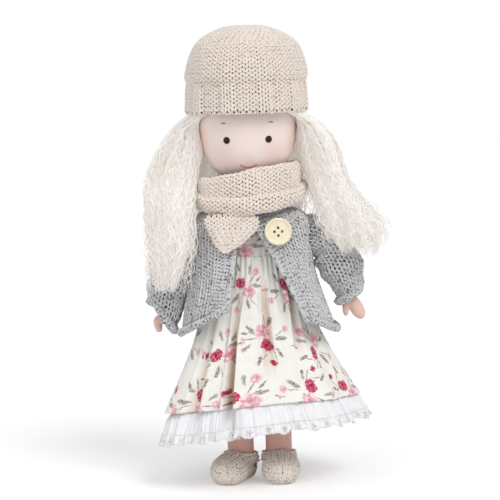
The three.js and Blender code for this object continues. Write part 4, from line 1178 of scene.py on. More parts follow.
def sleeve_surface(arm):
    """Rows run from the cuff up to the shoulder. Rows below 0 are the cuff's roll."""
    line = arm_line(arm)
    puff, cuff = arm["puff"], arm["cuff_radius"]
    stations = [
        [*line["cuff"], cuff, cuff],
        [*line["wrist"], lerp(puff, cuff, 0.55), lerp(puff, cuff, 0.55)],
        [*line["elbow"], puff, puff],
        [*line["bend"], puff, SLEEVE_TOP],
        [*off_shoulder(arm, SEAM_OUT + 0.3, 0), SLEEVE_TOP, SLEEVE_TOP],
    ]
    table = run(stations, np.linspace(0, 1, 300))
    facing = unit(np.gradient(table[:, :3], axis=0))
    share = np.linspace(0, 1, 300)[:, None]
    face_out = arm["face_out"]
    end = -np.array([arm["side"] * face_out, 0, -math.sqrt(1 - face_out**2)])
    facing = unit(lerp(facing, end, smooth(share, 0.3, 0)))
    facing = unit(lerp(facing, np.array([-arm["side"], 0.0, 0.0]), smooth(share, 0.6, 1)))
    arc = arc_table(table[:, :3])

    def surface(share, row):
        along = np.clip(row * SLEEVE_ROW, 0, None)
        within = np.clip(along - arc[-1], 0, None)
        centre = np.stack([np.interp(along, arc, table[:, i]) for i in range(3)], -1)
        centre[..., 0] -= arm["side"] * within
        across, deep = (np.interp(along, arc, table[:, i]) - GREY_SINK - 0.25 * within for i in (3, 4))
        ahead = unit(np.stack([np.interp(along, arc, facing[:, i]) for i in range(3)], -1))
        first = unit(np.cross(BACK, ahead))
        second = np.cross(ahead, first)
        angle = TAU * share
        tuck = smooth(along, 0, 12) * smooth(along, arc[-1], arc[-1] - 12)
        crease = 0.8 * np.sin(along * 0.45 + 1.5 * np.sin(angle)) + 0.5 * np.sin(3 * angle + along * 0.1)
        out, drop = hem_roll(row * SLEEVE_ROW)
        lean = arm["inward"] * smooth(along, 2, 14) * smooth(along, arc[-1] - 4, arc[-1] - 20)
        centre[..., 0] -= arm["side"] * lean
        swell = tuck * crease + out + lean
        wide = ((across + swell) * np.cos(angle))[..., None] * first
        tall = ((deep + swell) * np.sin(angle))[..., None] * second
        return centre + wide + tall - drop[..., None] * ahead

    return surface, int(arc[-1] / SLEEVE_ROW) + 2


def make_sleeve(word, arm):
    surface, rows = sleeve_surface(arm)
    yarns = Yarns()
    heights = range(-HEM_ROLL["rows"], rows + 1)

    def side_at(_, row):
        return PURL if row < 0 else PLAIN

    knit(yarns, surface, heights, lambda _: SLEEVE_STITCHES, GREY_RADIUS, side_at)
    heights = np.linspace(-0.8, rows, 40)
    shade_backing = (surface, shares_round(48), heights, 0.55, GREY_HOLE_SHADE, True, 0.4, GREY_INSIDE)
    finish = (f"{word}_arm", "grey_knit", SLEEVE_FLATS[word], "hung", f"{word}_arm_jersey")
    knitted(f"{word}_sleeve", yarns, GREY_YARN, shade_backing, *finish)


make_cardigan()
for side_word, side_arm in ARMS.items():
    make_sleeve(side_word, side_arm)


# Button

BUTTON = {"radius": 8.9, "thick": 2.6, "rim": 2.0, "rim_high": 0.6, "hole": 0.95, "apart": 2.5}


def button_material():
    g = Graph("button_cream", Roughness=0.32, Specular_IOR_Level=0.45, Coat_Weight=0.2)
    spot = g.object_point()
    cloud = g.noise(spot, 0.18, 4, 0.55)
    base = g.ramp(cloud, 0.3, 0.7, "f6e9c6", "fbf2d8")
    return g.finish(base, None, g.bump(g.noise(spot, 1.2, 2, 0.5), 0.03))


def make_button():
    low, high = (np.array(v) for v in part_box("cardigan_button"))
    shape = frame["nodes"]["cardigan_button"]
    corners = np.array([shape.matrix_world @ v.co for v in shape.data.vertices], float)
    middle = (low + high) / 2
    spread = np.linalg.svd(corners - corners.mean(0), full_matrices=False)[2]
    out = spread[2] * (-1 if spread[2][1] > 0 else 1)
    right, over = plane_facing(out)
    radius, half = BUTTON["radius"], BUTTON["thick"] / 2
    dish = radius - BUTTON["rim"]
    profile = [
        [0.01, -half],
        [radius - 1.2, -half],
        [radius - 0.3, -half * 0.7],
        [radius, -half * 0.1],
        [radius - 0.25, half * 0.7],
        [radius - 1.0, half],
        [dish + 0.5, half * 0.85],
        [dish - 0.4, half - BUTTON["rim_high"] - 0.2],
        [dish * 0.5, half - BUTTON["rim_high"] - 0.35],
        [0.01, half - BUTTON["rim_high"] - 0.3],
    ]
    at = run(profile, np.linspace(0, 1, 90))
    angle = TAU * shares_round(96)
    centre = (middle - AXIS) / MM
    points = centre + at[:, :1, None] * turned_in(angle, right, over) + at[:, 1][:, None, None] * out
    disc = grid_object("button_disc", points, BUTTON_CREAM)
    drills = []
    for x, y in ((1, 0), (0, 1), (-1, 0), (0, -1)):
        spot = centre + BUTTON["apart"] * (x * right + y * over)
        length = np.linspace(-4, 4, 2)
        circle = TAU * shares_round(28)
        hole = BUTTON["hole"] * turned_in(circle, right, over)
        sides = spot + length[:, None, None] * out + hole
        caps = [sides[i].mean(0) + 0 * sides[i] for i in (0, 1)]
        drills.append(grid_object("button_drill", np.stack([caps[0], *sides, caps[1]]), BUTTON_CREAM))
    for drill in drills:
        cut = disc.modifiers.new("hole", "BOOLEAN")
        cut.object = drill
        cut.solver = "EXACT"
    applied(disc)
    for drill in drills:
        bpy.data.objects.remove(drill)
    disc.data.set_sharp_from_angle(angle=math.radians(50))
    settle(disc, "torso", "button_cream", "cardigan_button")


BUTTON_CREAM = button_material()
make_button()


# Slippers

SLIPPER_RADIUS = 0.8
SLIPPER_STITCHES = 18
SLIPPER_ROWS = 16
SLIPPER_MOUTH = {"radius": 11.0, "low": 14.0, "rows": 2, "row": 2.0}
SLIPPER_FLAT = (0.052, 0.046)


def make_slipper(word, leg):
    foot, _ = foot_surface(SLIPPER_WOOL - 1.5, 1.55)

    def surface(share, row):
        return stand(leg, foot(share, np.clip(row / SLIPPER_ROWS, 0, 1)))

    def mouth(share, row):
        rise = SLIPPER_MOUTH["low"] + row * SLIPPER_MOUTH["row"]
        over = np.clip(row - 2, 0, None)
        radius = SLIPPER_MOUTH["radius"] + 0.5 * over**2 - 0.3 * row
        angle = TAU * share
        sway = np.sin(angle + math.pi)
        return stand(leg, oval(radius, radius, angle, rise + sway - 0.5 * over**2))

    def stitches_at(row):
        from_end = min(row, SLIPPER_ROWS - row) / SLIPPER_ROWS
        return SLIPPER_STITCHES if from_end > 0.2 else 14 if from_end > 0.1 else 8

    def off_leg(points):
        near = np.hypot(points[..., 0] - leg["x"], points[..., 1] - LEG_Y)
        return (near > LEG_RADIUS + 0.4) | (points[..., 2] < 8)

    yarns = Yarns()
    rows = np.arange(0.4, SLIPPER_ROWS)
    knit(yarns, surface, rows, stitches_at, SLIPPER_RADIUS, lambda s, r: PLAIN, keep=off_leg)
    rows = range(SLIPPER_MOUTH["rows"])
    knit(yarns, mouth, rows, lambda _: SLIPPER_STITCHES, SLIPPER_RADIUS, lambda s, r: PURL)
    heights = np.linspace(0, SLIPPER_ROWS, 40)
    shade_backing = (surface, shares_round(48), heights, 0.6, SLIPPER_HOLE_SHADE, True, 0.4)
    finish = (f"{word}_leg", "slipper_knit", SLIPPER_FLAT, "stretched", f"{word}_leg_jersey")
    knitted(f"{word}_slipper", yarns, SLIPPER_YARN, shade_backing, *finish)


for side_word, side_leg in LEGS.items():
    make_slipper(side_word, side_leg)


# Dress

SKIRT = {"top": 152, "hem": 49, "across": 65, "deep": 52}
SKIRT |= {"drift": 4.3, "tilt": 6.2, "ease": 2.2, "bow": 0.12}
SKIRT_FOLD = 1.82
SKIRT_FLANK = {"at": math.radians(188), "reach": 0.4, "out": 4.5}  # it stands out at the doll's right
HEM_SHARE = {"all_round": 0.037, "front": 0.054, "left": 0.016}  # how much shorter it is than its form
SKIRT_FLAT = (0.350, 0.100)  # the gathered rectangle: round the hem by length
# Places round the skirt (at the waist, at the hem), half width and softness are in degrees,
# depth and lip in millimetres.
# until says where on the way down a pleat begins and ends to die out.
PLEATS = [
    {"at": (221, 221), "half": 4.5, "edge": 2.4, "deep": 3.0, "lip": 1.0, "until": (1.2, 1.6)},
    {"at": (251, 251), "half": 5.5, "edge": 1.6, "deep": 8.5, "lip": 2.0, "until": (1.2, 1.6)},
    {"at": (283, 277), "half": 3.4, "edge": 1.5, "deep": 4.2, "lip": 1.2, "until": (0.5, 0.85)},
    {"at": (322, 297), "half": 3.6, "edge": 1.5, "deep": 4.2, "lip": 1.2, "until": (0.35, 0.75)},
]
LAP = 5.5  # degrees that the main pleat laps over
GATHERS = 44


def skirt_form(angle, down, inset):
    """Across, deep and lift of the skirts' plain form."""
    top = body_size(np.array(float(SKIRT["top"])))
    bow = SKIRT["bow"] * np.sin(math.pi * np.minimum(down, 1)) * (SKIRT["across"] - top[0])
    across = lerp(top[0] + SKIRT["ease"], SKIRT["across"], down) - bow - inset
    deep = lerp(top[1] + SKIRT["ease"], SKIRT["deep"], down) - bow - inset
    lift = SKIRT["tilt"] * np.cos(angle) * down
    return across, deep, lerp(SKIRT["top"], SKIRT["hem"], down) + lift


def in_front(angle):
    return np.maximum(-np.sin(angle), 0) ** 1.5


def skirt_hem(angle):
    """Where the skirt ends, as a share of its form's length: it is shorter in front."""
    short = 1 - HEM_SHARE["all_round"] - HEM_SHARE["front"] * in_front(angle)
    return short + HEM_SHARE["left"] * np.cos(angle)


def broad_folds(angle, down):
    return SKIRT_FOLD * down**2 * (np.cos(7 * angle) + 0.45 * np.cos(3 * angle + 1.3))


def skirt_folds(angle, down, wider=0.0):
    """How far the folds stand out of the plain form, and how deep the pleats go in."""
    rng = np.random.default_rng(11)
    broad = broad_folds(angle, down)
    middle = 0.8 * smooth(down, 0.1, 0.5) * waves(angle + 0.12 * np.sin(3 * down), rng, 4, 11, 19)
    fine = waves(angle + 0.05 * np.sin(5 * down), rng, 3, GATHERS - 9, GATHERS + 9)
    gather = np.exp(-down / 0.16) * fine
    place_round = np.degrees(angle) % 360
    valley, ridge = 0, 0
    for fold in PLEATS:
        away = place_round - lerp(*fold["at"], np.minimum(down, 1)) - 0.5 * np.sin(7 * down)
        half, edge = fold["half"] + wider, fold["edge"]
        start = 0.8 if fold["until"][0] > 1 else 0.3
        depth = smooth(down, 0.1, start) * smooth(down, *fold["until"][::-1])
        valley = valley - fold["deep"] * depth * smooth(np.abs(away), half + edge, half - edge)
        for side in (1, -1):
            ridge = ridge + fold["lip"] * depth * hump(away - side * (half + 1.3 * edge), edge)
    return broad + middle + gather + ridge, valley


def flank(angle, down):
    """1 at the doll's right side near the hem, where the skirts stand out."""
    return smooth(down, 0.3, 1) * hump(angle - SKIRT_FLANK["at"], SKIRT_FLANK["reach"])


def lapped(angle, down):
    """Angles moved so that the left edge of the main pleat laps over its valley."""
    fold = PLEATS[1]
    away = np.degrees(angle) % 360 - fold["at"][0] - 0.5 * np.sin(7 * down) - fold["half"] - fold["edge"]
    lap = LAP * smooth(down, 0.1, 0.5) * smooth(away, -2.0 * fold["edge"], 0) * smooth(away, 4 * LAP, 0)
    return angle - np.radians(lap)


def skirt_points(angle, down, inset, extra):
    across, deep, z = skirt_form(angle, down, inset)
    turned = lapped(angle, down)
    x = SKIRT["drift"] * down + (across + extra) * np.cos(turned)
    return xyz(x, (deep + extra) * np.sin(turned), z)


def ellipse(g, spot, middle, turn, half, edge=0.12):
    """1 inside an ellipse on the cloth, 0 outside it."""
    inputs = {
        "Vector": spot,
        "Location": (*middle, 0),
        "Rotation": (0, 0, math.radians(turn)),
        "Scale": (*half, 1),
    }
    local = g.node("Mapping", inputs, vector_type="TEXTURE").outputs[0]
    return g.between(g.vector("LENGTH", local), 1 + edge, 1 - edge)


def sprig_cells(g, cloth, shift, jitter):
    """Places of a half-drop repeat: each cell's own turned and moved coordinates."""
    x, y = g.split(g.vector("ADD", cloth, (*shift, 0.0)))
    row = g.math("FLOOR", g.math("DIVIDE", y, SPRIG_PITCH))
    drop = g.times(g.math("MODULO", row, 2.0), 0.5)
    column = g.math("FLOOR", g.plus(g.math("DIVIDE", x, SPRIG_PITCH), drop))
    cell = g.joined(column, row)
    made = g.node("TexWhiteNoise", {"Vector": cell}, noise_dimensions="2D")
    middle_x = g.times(g.minus(g.plus(column, 0.5), drop), SPRIG_PITCH)
    middle_y = g.times(g.plus(row, 0.5), SPRIG_PITCH)
    away = g.joined(g.minus(x, middle_x), g.minus(y, middle_y))
    moved = g.vector("SUBTRACT", made.outputs["Color"], (0.5, 0.5, 0.5))
    away = g.vector("SUBTRACT", away, g.scaled(moved, jitter))
    angle = g.times(made.outputs["Value"], TAU)
    inputs = {"Vector": g.vector("MULTIPLY", away, (1.0, 1.0, 0.0)), "Angle": angle}
    return g.node("VectorRotate", inputs, rotation_type="Z_AXIS").outputs[0]


LEAF_LIGHT, LEAF_DARK, STEM = "cfc9c1", "958a82", "66584f"
ROSE_TINTS = {"deep": ("ea7f98", "c93558", "93193b"), "pale": ("fdeaec", "f8c6d0", "e191a4")}
PETAL_RINGS = ((20, 0.72), (140, 0.58), (260, 0.42))  # turn in degrees, and share of the rose's radius
SPRIG_PITCH = 38
SPRIG_SHIFT = (8.0, 3.0)
SPRIG_SIZE = 1.3
SPRIG_LEAVES = [
    ((7.4, 5.4), 35, (4.6, 1.5)),
    ((-8.0, 1.0), 165, (4.4, 1.4)),
    ((-5.4, -8.4), 70, (4.0, 1.3)),
    ((9.6, -1.6), -25, (3.8, 1.2)),
    ((-2.0, 9.6), 100, (3.8, 1.2)),
    ((3.0, -10.4), -75, (3.4, 1.0)),
    ((-10.6, -2.2), 205, (3.0, 0.9)),
]
SPRIG_STEMS = [
    ((4.2, -8.0), 65, (6.4, 0.34)),
    ((-6.8, -3.4), 40, (6.0, 0.32)),
    ((5.4, 7.6), 60, (5.6, 0.3)),
    ((9.4, -4.8), -45, (4.6, 0.3)),
    ((-4.6, 8.6), 130, (4.8, 0.3)),
]
SPRIG_ROSES = [
    ((-3.2, 3.0), 5.4, "pale"),
    ((2.6, -2.2), 4.5, "deep"),
    ((9.6, -8.0), 2.5, "deep"),
    ((-9.8, -6.2), 3.2, "pale"),
    ((7.6, 11.2), 2.6, "pale"),
]
BUD_LEAVES = [((1.8, 1.6), 45, (1.7, 0.7))]
BUD_STEMS = [((-0.9, -1.9), 65, (2.2, 0.2))]
BUDS = [((0.0, 0.0), 1.8, "pale")]


def print_sprig(g, base, spot, leaves, stems, roses):
    wobble = g.noise(spot, 0.7, 2, 0.6)
    ruffle = g.node("TexNoise", {"Vector": spot, "Scale": 0.55}).outputs[1]
    ruffled = g.vector("ADD", spot, g.scaled(ruffle, 1.3))
    ruffled = g.vector("SUBTRACT", ruffled, (0.65, 0.65, 0.0))
    for middle, turn, half in stems:
        base = g.mix(g.times(ellipse(g, ruffled, middle, turn, half, 0.3), 0.8), base, colour(STEM))
    for middle, turn, half in leaves:
        tint = g.ramp(wobble, 0.4, 0.6, LEAF_DARK, LEAF_LIGHT)
        base = g.mix(ellipse(g, ruffled, middle, turn, half), base, tint)
        vein = ellipse(g, ruffled, middle, turn, (half[0] * 0.9, 0.16), 0.4)
        base = g.mix(g.times(vein, 0.6), base, colour(STEM))
    for middle, radius, tint in roses:
        light, main, dark = (colour(code) for code in ROSE_TINTS[tint])
        bloom = ellipse(g, ruffled, middle, 0, (radius, radius * 0.92), 0.08)
        petals = g.mix(g.between(wobble, 0.38, 0.6), main, light)
        base = g.mix(bloom, base, petals)
        for turn, size in PETAL_RINGS:
            step, way = radius * 0.22, math.radians(turn)
            near = (middle[0] + step * math.cos(way), middle[1] + step * math.sin(way))
            outer = ellipse(g, ruffled, near, turn, (radius * size, radius * size * 0.8), 0.1)
            inner = ellipse(g, ruffled, near, turn, (radius * size * 0.78, radius * size * 0.58), 0.15)
            rim = g.times(outer, g.minus(1.0, inner))
            base = g.mix(g.times(rim, 0.85), base, dark)
        heart = ellipse(g, ruffled, middle, 30, (radius * 0.26, radius * 0.2), 0.25)
        base = g.mix(heart, base, dark)
    return base


def weave(g, cloth, close):
    x, y = g.split(cloth)
    return g.plus(g.sine(g.times(x, close)), g.sine(g.times(y, close)))


def cotton_material():
    """Ivory lawn with rose sprigs in a half-drop repeat, and a few loose buds between them, with painted
    shade in the pleats' valleys.
    """
    g = Graph("floral_cotton", Sheen_Weight=0.15, Specular_IOR_Level=0.2)
    cloth = g.uv("cloth")
    tone = g.noise(cloth, 0.09, 3, 0.5)
    base = g.ramp(tone, 0.3, 0.7, "f8f5ed", "fdfbf6")
    spot = g.scaled(sprig_cells(g, cloth, SPRIG_SHIFT, 12.0), 1 / SPRIG_SIZE)
    base = print_sprig(g, base, spot, SPRIG_LEAVES, SPRIG_STEMS, SPRIG_ROSES)
    spot = sprig_cells(g, cloth, (SPRIG_SHIFT[0] + SPRIG_PITCH / 2, SPRIG_SHIFT[1]), 7.0)
    base = print_sprig(g, base, spot, BUD_LEAVES, BUD_STEMS, BUDS)
    # Painted shade: the cloth turns towards tan as deep as the fold map says a pleat's valley lies.
    shade = g.mix(1.0, base, colour("d3bda8"), "MULTIPLY")
    base = g.mix(g.split(g.uv("fold"))[0], base, shade)
    threads = weave(g, cloth, 16.0)
    slub = g.noise(g.vector("MULTIPLY", cloth, (1.0, 0.12, 1.0)), 2.0, 2, 0.5)
    height = g.times_plus(threads, 0.12, slub)
    crumple = g.bump(g.noise(cloth, 0.16, 3, 0.55), 0.7)
    return g.finish(base, g.times_plus(slub, 0.15, 0.75), g.bump(height, 0.07, under=crumple))


def gauze_material(name, light, shade):
    """Crinkled open-weave cotton."""
    g = Graph(name, Sheen_Weight=0.2, Specular_IOR_Level=0.2)
    cloth = g.uv("cloth")
    crinkle = g.noise(g.vector("MULTIPLY", cloth, (1.0, 0.1, 1.0)), 0.9, 3, 0.6)
    base = g.ramp(crinkle, 0.3, 0.7, shade, light)
    threads = weave(g, cloth, 12.0)
    height = g.times_plus(threads, 0.06, crinkle)
    return g.finish(base, g.times_plus(crinkle, 0.15, 0.75), g.bump(height, 0.3))


COTTON = cotton_material()
GAUZE = gauze_material("white_gauze", "ffffff", "f6f4f9")
LACE = gauze_material("white_lace", "ffffff", "f6f4f8")
LACE_THREAD = thread_material("lace_thread", "ffffff", "f4f2f5", "e8e5ea", 1.2)


def from_back(columns):
    """Angles round the doll, from the seam at its back."""
    return math.pi / 2 + TAU * shares_round(columns)


def cloth_uv(angle, down, width_at, length):
    """Millimetres on the cloth, from the seam at the back. One column more than the sheet has."""
    share = np.linspace(-0.5, 0.5, len(angle) + 1)
    return np.stack(np.broadcast_arrays(share * width_at[:, None], (-down * length)[:, None]), -1)


def make_skirt():
    columns, rows = 560, 120
    angle = from_back(columns)
    down = np.linspace(0, 1, rows)
    fallen = down[:, None] * skirt_hem(angle)
    stand_out, pleat = skirt_folds(angle, fallen)
    extra = stand_out + pleat + SKIRT_FLANK["out"] * flank(angle, fallen)
    points = skirt_points(angle, fallen, 0.5, extra)
    round_at = TAU * (skirt_form(0, down, 0)[0] + skirt_form(0, down, 0)[1]) / 2
    uv = cloth_uv(angle, down, lerp(round_at, SKIRT_FLAT[0] / MM, 0.55), SKIRT_FLAT[1] / MM)
    skirt = grid_object("skirt_cloth", points[::-1], COTTON, uv=uv[::-1], thick=0.5)
    # Painted shade for the cloth: how deep each point lies in a pleat's valley, kept in the fold map.
    pleat_shade = np.minimum(-pleat / 8, 1)[::-1].ravel()
    corners = np.zeros(len(skirt.data.loops), np.int32)
    skirt.data.loops.foreach_get("vertex_index", corners)
    folds = np.stack([pleat_shade[corners], 0 * corners], -1).astype(np.float32)
    skirt.data.uv_layers.new(name="fold").uv.foreach_set("vector", folds.ravel())
    skirt.data.uv_layers.active_index = 0
    settle(skirt, "torso", "floral_cotton", "dress_skirt")


BODICE_FLAT = (0.150, 0.030)


def make_bodice():
    columns, rows = 260, 40
    angle = from_back(columns)
    z = np.linspace(SKIRT["top"] - 3, 179, rows)
    across, deep = (s[:, None] + 1.4 for s in body_size(z))
    rng = np.random.default_rng(5)
    pucker = 0.35 * waves(angle, rng, 3, 30, 44) * smooth(z, 166, 152)[:, None]
    x = np.clip((across + pucker) * np.cos(angle), -28.5, 28.5)
    points = xyz(x, (deep + pucker) * np.sin(angle), z[:, None])
    down = (z[-1] - z) / (z[-1] - z[0])
    uv = cloth_uv(angle, down, np.full(rows, BODICE_FLAT[0] / MM), BODICE_FLAT[1] / MM)
    bodice = grid_object("bodice_cloth", points, COTTON, uv=uv, thick=0.4)
    settle(bodice, "torso", "floral_cotton", "dress_bodice")


# Petticoat and lace

PETTICOAT_HEM = 1.077  # as a share of the skirt's length
LACE_HEM = 1.141
FRONT_LIFT = 0.049  # it hangs this much shorter in front
SCALLOPS = 44
LACE_ROUND = 0.2
PETTICOAT_PRINT, LACE_PRINT = (460.0, 110.0), (430.0, 110.0)  # the cloths' coordinates, in millimetres
LACE_EYELETS = [(0.0, 0.56, 0.06, 0.085)]  # across and along a scallop, half width and half height
for petal in TAU * np.arange(5) / 5:
    LACE_EYELETS.append((0.14 * math.cos(petal), 0.56 + 0.21 * math.sin(petal), 0.045, 0.065))


def lace_points(angle, depth, inset):
    """Points on the lace: depth runs from 0 at its seam to 1 at the tips of the scallops."""
    ruffle = depth * waves(angle, np.random.default_rng(31), 4, 14, 30)
    down = lerp(PETTICOAT_HEM - 0.006, LACE_HEM, depth) + 0.007 * ruffle - FRONT_LIFT * in_front(angle)
    swing = 0.9 * depth * waves(angle + 0.06, np.random.default_rng(31), 4, 14, 30)
    return petticoat_points(angle, down, inset) + swing[..., None] * oval(1, 1, angle, 0)


def petticoat_points(angle, down, inset=1.6):
    """The petticoat follows the skirt's folds under it, and has its own crinkles where it shows."""
    rng = np.random.default_rng(21)
    stand_out, pleat = skirt_folds(angle, np.minimum(down, 1), 1.2)
    free = smooth(down - skirt_hem(angle), -0.03, 0.05)
    drift = 0.02 * np.sin(9 * down)
    crinkle = 0.55 * waves(angle + drift, rng, 5, 120, 190) + 0.8 * waves(angle + drift, rng, 3, 34, 58)
    broad = broad_folds(angle, down)
    under = np.minimum(stand_out, broad) + pleat - 0.8 + 0.5 * np.minimum(crinkle, 0)
    fading = pleat * (1 - 0.65 * smooth(down, 1.0, 1.14))
    shown = broad + fading + crinkle - 0.6 + 1.5 * flank(angle, down)
    return skirt_points(angle, down, inset, lerp(under, shown, free))


def make_petticoat():
    columns, rows = 1400, 56
    angle = from_back(columns)
    share = np.concatenate([np.linspace(0.06, 0.8, 16), np.linspace(0.82, 1, rows - 16)])
    fallen = share[:, None] * (PETTICOAT_HEM + 0.01 - FRONT_LIFT * in_front(angle))
    down = share * PETTICOAT_HEM
    points = petticoat_points(angle, fallen)
    uv = cloth_uv(angle, down, np.full(rows, PETTICOAT_PRINT[0]), PETTICOAT_PRINT[1])
    cloth = grid_object("petticoat_cloth", points[::-1], GAUZE, uv=uv[::-1], thick=0.3)
    settle(cloth, "torso", "white_gauze", "petticoat")


def make_lace():
    """A scalloped edging with a flower of eyelets in each scallop, and small points along its edge."""
    columns, rows = SCALLOPS * 42, 28
    angle = from_back(columns)
    scallop = SCALLOPS * shares_round(columns) % 1 - 0.5
    share = np.linspace(1, 0, rows)[:, None]
    edge = 0.72 + 0.22 * np.cos(math.pi * scallop) ** 0.8 + 0.06 * np.abs(np.cos(4 * math.pi * scallop))
    depth = share * edge
    points = lace_points(angle, depth, 1.2)
    down = lerp(PETTICOAT_HEM, LACE_HEM, share[:, 0])
    uv = cloth_uv(angle, down, np.full(rows, LACE_PRINT[0]), LACE_PRINT[1])
    band = grid_object("lace_band", points, LACE, uv=uv)
    holes = np.zeros((rows, columns), bool)
    for across, along, wide, tall in LACE_EYELETS:
        holes |= ((scallop - across) / wide) ** 2 + ((depth - along) / tall) ** 2 < 1
    drop_faces(band, (holes & np.roll(holes, -1, 1))[:-1].ravel())
    band.modifiers.new("thickness", "SOLIDIFY").thickness = 0.45 * MM

    threads = Yarns()
    turn = TAU * np.arange(12) / 12
    for index in range(SCALLOPS):
        for across, along, wide, tall in LACE_EYELETS:
            at = math.pi / 2 + TAU * (index + 0.5 + across + wide * np.cos(turn)) / SCALLOPS
            ring = lace_points(at, along + tall * np.sin(turn), 0.9)
            threads.add(ring[None], oval(1, 1, at, 0)[None], LACE_ROUND, closed=True)
    out = oval(1, 1, angle, 0)
    for row in (0, 2):
        threads.add(points[row][None] + 0.2 * out[None], out[None], LACE_ROUND * 1.25, closed=True)
    top = lace_points(angle, np.full(columns, 0.09), 0.8)
    threads.add(top[None], out[None], LACE_ROUND * 1.3, closed=True)
    pieces = threads.pieces("lace_thread", LACE_THREAD)
    settle([band, *pieces], "torso", "white_lace", "petticoat_lace")


make_bodice()
make_skirt()
make_petticoat()
make_lace()


# Hair

HAIR_MASSES = {
    "left": [
        (36, 4, 246, 5, 14),
        (44, 3, 224, 12.5, 16),
        (51, -2, 202, 12.5, 14),
        (58, -9, 186, 14, 11.5),
        (66, -16, 172, 16.5, 9),
        (69.5, -20, 160, 14, 6.5),
        (71, -21, 149, 10, 4.5),
    ],
    "right": [
        (-36, 4, 246, 5, 14),
        (-43, 2, 224, 13.5, 16),
        (-50.5, -4, 203, 16.5, 15),
        (-52.5, -18, 184, 15, 13),
        (-53, -29, 163, 12.5, 9),
        (-54.5, -31, 146, 8.5, 7),
        (-55.5, -30, 132, 4.5, 4),
    ],
    "back": [
        (0, 34, 244, 22, 3.5),
        (0, 37.5, 224, 33, 6),
        (0, 41.5, 206, 36, 5.8),
        (0, 42, 186, 36, 5.8),
        (0, 40.5, 167, 32, 5.2),
        (0, 40, 151, 26, 4),
    ],
}
HAIR_ROOT = {"radius": 35.0, "up": 50.5}
HAIR_TURN = (236, 186)  # above the first height it turns with the head, below the second it stays
HAIR_CUT = 182  # a side mass is parted here, above where it comes to lie on an arm
HAIR_LIFT = (178, 152)  # below the lower height it moves with that arm
STRANDS, LOCKS, STRAND_STEPS = 900, 30, 52
LOOSE = {"curl": 5.2, "stray": 3.6, "other": 0.9}  # how far the ends of strands stand off
CORE_FILL = 0.9


def strands(masses, seed, root_at):
    """Crimped strands over a mass, gathered in locks that part and end at their own heights."""
    rng = np.random.default_rng(seed)
    stations = np.asarray(masses, float)
    lines = []
    lock_angle = TAU * (np.arange(LOCKS) + rng.uniform(-0.3, 0.3, LOCKS)) / LOCKS
    lock_end = rng.uniform(0.76, 1.0, LOCKS)
    lock_phase = rng.uniform(0, TAU, LOCKS)
    t = np.linspace(0, 1, STRAND_STEPS)
    for index in range(STRANDS):
        lock = index % LOCKS
        stray, curl = index % 4 == 0, index % 12 == 0
        reach = rng.uniform(0.98, 1.16) if stray else rng.uniform(0.92, 1.0)
        sway = 0.25 * np.sin(TAU * t * rng.uniform(0.3, 0.9) + lock_phase[lock])
        turn = lock_angle[lock] + rng.normal(0, 2.4 / LOCKS) + sway
        at = run(stations, t * min(lock_end[lock] + rng.normal(0, 0.05), 1.0))
        a, b = reach * np.cos(turn), reach * np.sin(turn)
        middle = at[:, :3] + xyz(a * at[:, 3], b * at[:, 4], 0)
        root = root_at(a[0], b[0])
        hold = smooth(t, 0.09, 0)[:, None]
        middle = middle * (1 - hold) + hold * (root + xyz(0, 0, -60 * t))
        length = arc_table(middle)
        along = unit(np.gradient(middle, axis=0))
        side = unit(np.cross(along, oval(1, 1, turn, 0)))
        other = np.cross(along, side)
        wave = TAU * length / rng.uniform(6.0, 11.0) / (1.35 if curl else 1)
        wave = wave + 2 * lock_phase[lock] + rng.normal(0, 1.8)
        wave = wave + 1.2 * np.sin(length / rng.uniform(9, 16) + rng.uniform(0, TAU))
        wilder = 1 + smooth(t, 0.4, 1) * (0.8 * stray + 0.9 * curl)
        crimp = rng.uniform(0.6, 1.5) * smooth(t, 0, 0.2) * wilder
        loose = LOOSE["curl" if curl else "stray" if stray else "other"]
        loose = loose * np.clip(rng.normal(0, 1, 2), -1.5, 1.5)
        loose = loose * smooth(t, 0.25, 1)[:, None] ** 1.3
        offset = (crimp * np.sin(wave) + loose[:, 0])[:, None] * side
        offset += (0.6 * crimp * np.sin(0.73 * wave + 1) + loose[:, 1])[:, None] * other
        points = off_head(middle + offset)
        radius = rng.uniform(0.17, 0.3) * (1 - 0.75 * smooth(t, 0.85, 1))
        lines.append((points, side, radius))
    return lines


def hair_core(masses, seed):
    """The close hair inside a mass: locks side by side, crimped along their length."""
    rows, columns = 150, 132
    t = np.linspace(0, 0.9, rows)
    at = run(masses, t)
    ends = np.sqrt(np.clip(np.linspace(0, 20, rows), 0.02, 1))
    ends = ends * np.sqrt(np.clip(np.linspace(5, 0.02, rows), 0, 1))
    ends = ends * lerp(0.72, 1, smooth(t, 0.02, 0.3))
    rng = np.random.default_rng(seed)
    angle = TAU * shares_round(columns)
    length = arc_table(at[:, :3])[:, None]
    swing = angle + 0.25 * np.sin(length / 17 + rng.uniform(0, TAU))
    locks = 0.55 * waves(swing, rng, 5, 9, 17) + 0.35 * waves(swing, rng, 4, 19, 27)
    crimp = 0.32 * np.sin(TAU * length / 5.6 + 3 * waves(angle, rng, 3, 3, 8))
    swell = (locks * smooth(t, 0, 0.15)[:, None] + crimp) * ends[:, None]
    wide = ((at[:, 3] * CORE_FILL * ends)[:, None] + swell) * np.cos(angle)
    deep = ((at[:, 4] * CORE_FILL * ends)[:, None] + swell) * np.sin(angle)
    points = off_head(at[:, None, :3] + xyz(wide, deep, 0))
    return points, np.stack(np.broadcast_arrays(length, np.linspace(0, 40, columns + 1)), -1)


def off_head(points):
    """Points moved out of the head where they would lie in it."""
    up = points[..., 2] - CHIN
    across, deep = head_size(up)
    inside = np.hypot(points[..., 0] / (across + 1.0), points[..., 1] / (deep + 1.0))
    grow = np.where((inside < 1) & (up > 0) & (up < 86), 1 / np.maximum(inside, 0.2), 1)
    return np.concatenate([points[..., :2] * grow[..., None], points[..., 2:]], -1)


